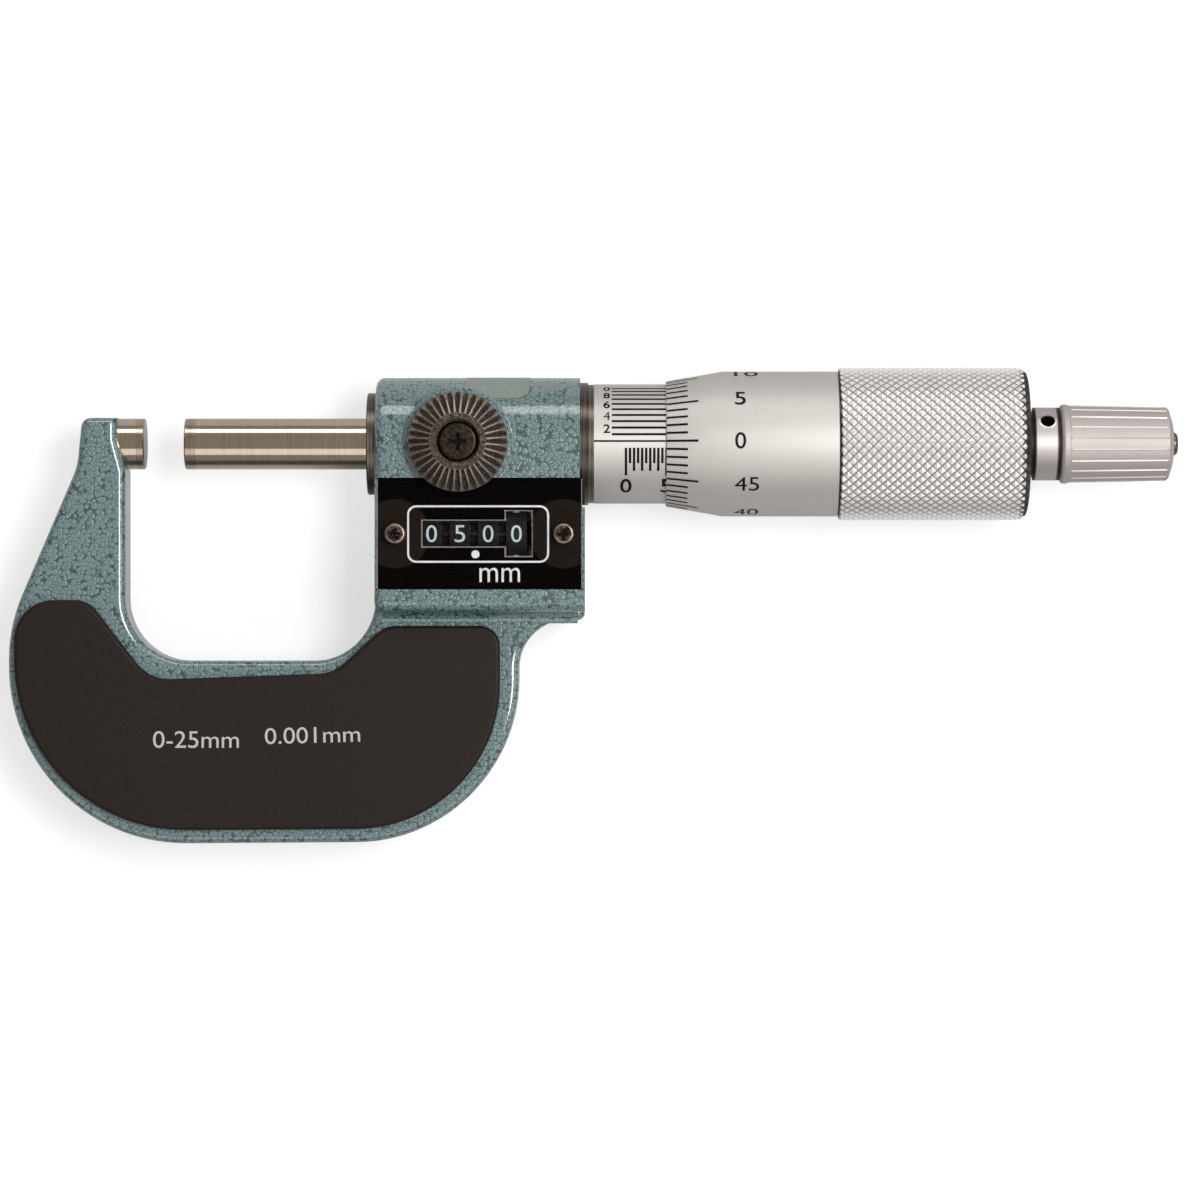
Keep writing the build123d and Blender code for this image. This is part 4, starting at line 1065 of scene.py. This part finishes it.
# %% Edges of the window and the cover
# Grey lines on the edges are painted highlights.
edge_highlight = finish("painted edge highlight", grain_group, 5000.0, ((0.045, 0.042, 0.040), (0.13, 0.122, 0.115)), rough=0.4)
line_width = 0.15 * mm
line_lean = 0.1 * mm
window_top, window_bottom = -9.565 * mm, -13.035 * mm
tall_top, tall_bottom = -8.385 * mm, -14.215 * mm
window_left, tall_left, window_right = 34.7 * mm, 45.0 * mm, 48.5 * mm
window_corners = (
    (window_left, window_top),
    (tall_left, window_top),
    (tall_left, tall_top),
    (window_right, tall_top),
    (window_right, tall_bottom),
    (tall_left, tall_bottom),
    (tall_left, window_bottom),
    (window_left, window_bottom),
)
window_line = bmesh.new()
window_line.faces.new([window_line.verts.new((x, y, 0)) for x, y in reversed(window_corners)])
window_line.normal_update()
only_border(window_line, line_width)
corner_points = [Vector((x, y, 0)) for x, y in window_corners]
for vert in window_line.verts:
    if min((vert.co - point).length for point in corner_points) > line_width / 2:
        vert.co.z -= line_lean
add_piece("window_line", move(window_line, 0, 0, print_level), edge_highlight, "frame")
# The cover's two ends get the same grey lines, painted highlights on its polished edges.
cover_ends = (29.27 * mm, 54.53 * mm)
cover_edge_length, cover_edge_width = 13.6 * mm, 0.1 * mm
cover_edges = [flat_plate(cover_edge_width, cover_edge_length, x, cover_height) for x in cover_ends]
cover_line = move(gather(cover_edges), 0, 0, print_level)
add_piece("cover_edge_line", cover_line, edge_highlight, "frame")
print("window corners", len(window_corners))

# %% Grip print
grip_front = 5.5 * mm
range_place, range_height, range_width = (6.72 * mm, -36.79 * mm), 2.1 * mm, 10.65 * mm
step_place, step_height, step_width = (21.16 * mm, -36.23 * mm), 2.0 * mm, 11.8 * mm
range_text = move(flat_text("0-25mm", range_height, range_width), *range_place)
step_text = flat_text("0.001mm", step_height, step_width)
slight_tilt = Matrix.Rotation(math.radians(1.5), 3, "Z")
bmesh.ops.rotate(step_text, verts=step_text.verts, cent=(0, 0, 0), matrix=slight_tilt)
move(step_text, *step_place)
grip_print = move(gather([range_text, step_text]), 0, 0, grip_front + ink_lift)
add_piece("grip_print", grip_print, white_ink, "frame")
print("grip print made")

# %% [markdown]
# ## Label film on the housing
# A thin rounded film wraps over the back edge of the housing, bare, with a paler yellowish rim.
# It is a flat rounded sheet rolled around the barrel like the scales.

# %% Label film
on_barrel = cylinder(8.25 * mm)
film_middle, film_angle = 44.1 * mm, 71.0
film_half_length, film_half_width, film_round = 3.9 * mm, 4.2 * mm, 1.6 * mm
film_corners = (-film_half_length, film_half_length, -film_half_width, film_half_width, film_round)
film = finish(
    "label film", grain_group, 2500.0, ((0.165, 0.205, 0.185), (0.205, 0.245, 0.215)), (0.22, 0.36)
)
film_edge = finish(
    "film edge", grain_group, 3000.0, ((0.20, 0.20, 0.125), (0.28, 0.28, 0.19)), rough=0.35
)
film_shape = roll(rounded_plate(*film_corners), film_middle, film_angle, on_barrel, lift=0.04 * mm)
add_piece("label_film", film_shape, film, "frame", crease=30)
edge_shape = only_border(rounded_plate(*film_corners), 0.16 * mm)
roll(edge_shape, film_middle, film_angle, on_barrel, lift=0.05 * mm)
add_piece("label_film_edge", edge_shape, film_edge, "frame", crease=30)
print("film made")

# %% [markdown]
# ## Ratchet cap
# The cap is turned from light alloy and has twenty low ribs for the fingertips, which die out
# before the flange and before the rounded end. The shape is one spin in 240 steps; every twelfth
# row of points is moved out by a tenth of a millimetre, and the faces beside it are painted
# paler as a highlight.
# The bore inside follows the CAD solid, so that the cap still fits over its seat and screw.

# %% Cap profile
cap_left = 114.16 * mm
cap_right = 128.26 * mm
click_bore_radius = 3.75 * mm
click_bore_end = cap_left + 2.3 * mm
spigot_bore_radius = 2.3 * mm
spigot_bore_end = 125.16 * mm
screw_hole_radius = 1.0 * mm
cap_points = [
    (cap_left, click_bore_radius),
    (cap_left, 4.5 * mm),
    (cap_left + 0.15 * mm, 4.78 * mm),
    (cap_left + 0.4 * mm, 4.95 * mm),
    (cap_left + 0.75 * mm, 4.95 * mm),
    (cap_left + 1.05 * mm, 4.88 * mm),
    (cap_left + 1.12 * mm, 4.79 * mm),
    (cap_left + 1.3 * mm, 4.78 * mm),
    (cap_left + 7.0 * mm, 4.68 * mm),
    (cap_right - 0.95 * mm, 4.57 * mm),
    (cap_right - 0.7 * mm, 4.54 * mm),
    (cap_right - 0.5 * mm, 4.32 * mm),
    (cap_right - 0.05 * mm, 2.95 * mm),
    (cap_right, 2.75 * mm),
    (cap_right, screw_hole_radius),
    (spigot_bore_end, screw_hole_radius),
    (spigot_bore_end, spigot_bore_radius),
    (click_bore_end, spigot_bore_radius),
    (click_bore_end, click_bore_radius),
]
print("cap points", len(cap_points))

# %% Cap with fine ribs
cap_steps = 240
rows_per_rib = 12
rib_row = 7
rib_start, rib_stop = cap_left + 1.25 * mm, cap_right - 0.9 * mm
rib_rise = 0.10 * mm
cap_skin = 4.3 * mm
click_teeth = 12
tooth_size = (0.5 * mm, 1.2 * mm, 0.8 * mm)
tooth_place = (click_bore_end - tooth_size[0] / 2, 3.0 * mm, 0)


def on_ribs(point):
    """Whether a point lies on the ribbed part of the cap's outer skin."""
    return rib_start < point.x < rib_stop and point.yz.length > cap_skin


cap_shape = spin_profile(cap_points, cap_steps)
for vert in cap_shape.verts:
    if on_ribs(vert.co) and (round(step_round(vert.co, cap_steps)) - rib_row) % rows_per_rib == 0:
        move_out(vert, rib_rise)
for tooth in range(click_teeth):
    verts = bmesh.ops.create_cube(cap_shape, size=1.0)["verts"]
    bmesh.ops.scale(cap_shape, verts=verts, vec=tooth_size)
    bmesh.ops.translate(cap_shape, verts=verts, vec=tooth_place)
    turn = Matrix.Rotation(math.tau * tooth / click_teeth, 3, "X")
    bmesh.ops.rotate(cap_shape, verts=verts, cent=(0, 0, 0), matrix=turn)
ribbed_cap = add_piece("ribbed_cap", cap_shape, cap_alloy, "ratchet", crease=22)
ribbed_cap.data.materials.append(rib_highlight_alloy)
half_rib = rows_per_rib / 2
# Faces beside each rib get the paler alloy, a painted highlight.
for face in ribbed_cap.data.polygons:
    rows_off = (step_round(face.center, cap_steps) - rib_row + half_rib) % rows_per_rib - half_rib
    if abs(rows_off) < 1 and on_ribs(face.center):
        face.material_index = 1
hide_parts("ratchet_cap")
print("cap faces", len(ribbed_cap.data.polygons))

# %% [markdown]
# ## Rim of the spanner hole
# The ring beside the cap has a round hole for a spanner, and its edge carries a painted highlight.
# The hole itself is in the CAD solid. The highlight is a narrow flat ring of paler steel, rolled
# over the steel like the print.

# %% Painted highlight rim
on_seat = cylinder(4.55 * mm)
hole_middle, hole_angle = 112.46 * mm, 38.0
rim_radius, rim_width = 1.14 * mm, 0.22 * mm
hole_highlight = bmesh.new()
bmesh.ops.create_circle(hole_highlight, cap_ends=True, segments=40, radius=rim_radius)
only_border(hole_highlight, rim_width)
roll(hole_highlight, hole_middle, hole_angle, on_seat, lift=0.015 * mm)
# A painted highlight: the ring of paler steel round the hole's edge.
add_piece("spanner_hole_highlight", hole_highlight, seat_steel, "spindle", crease=40)
print("hole rim made")
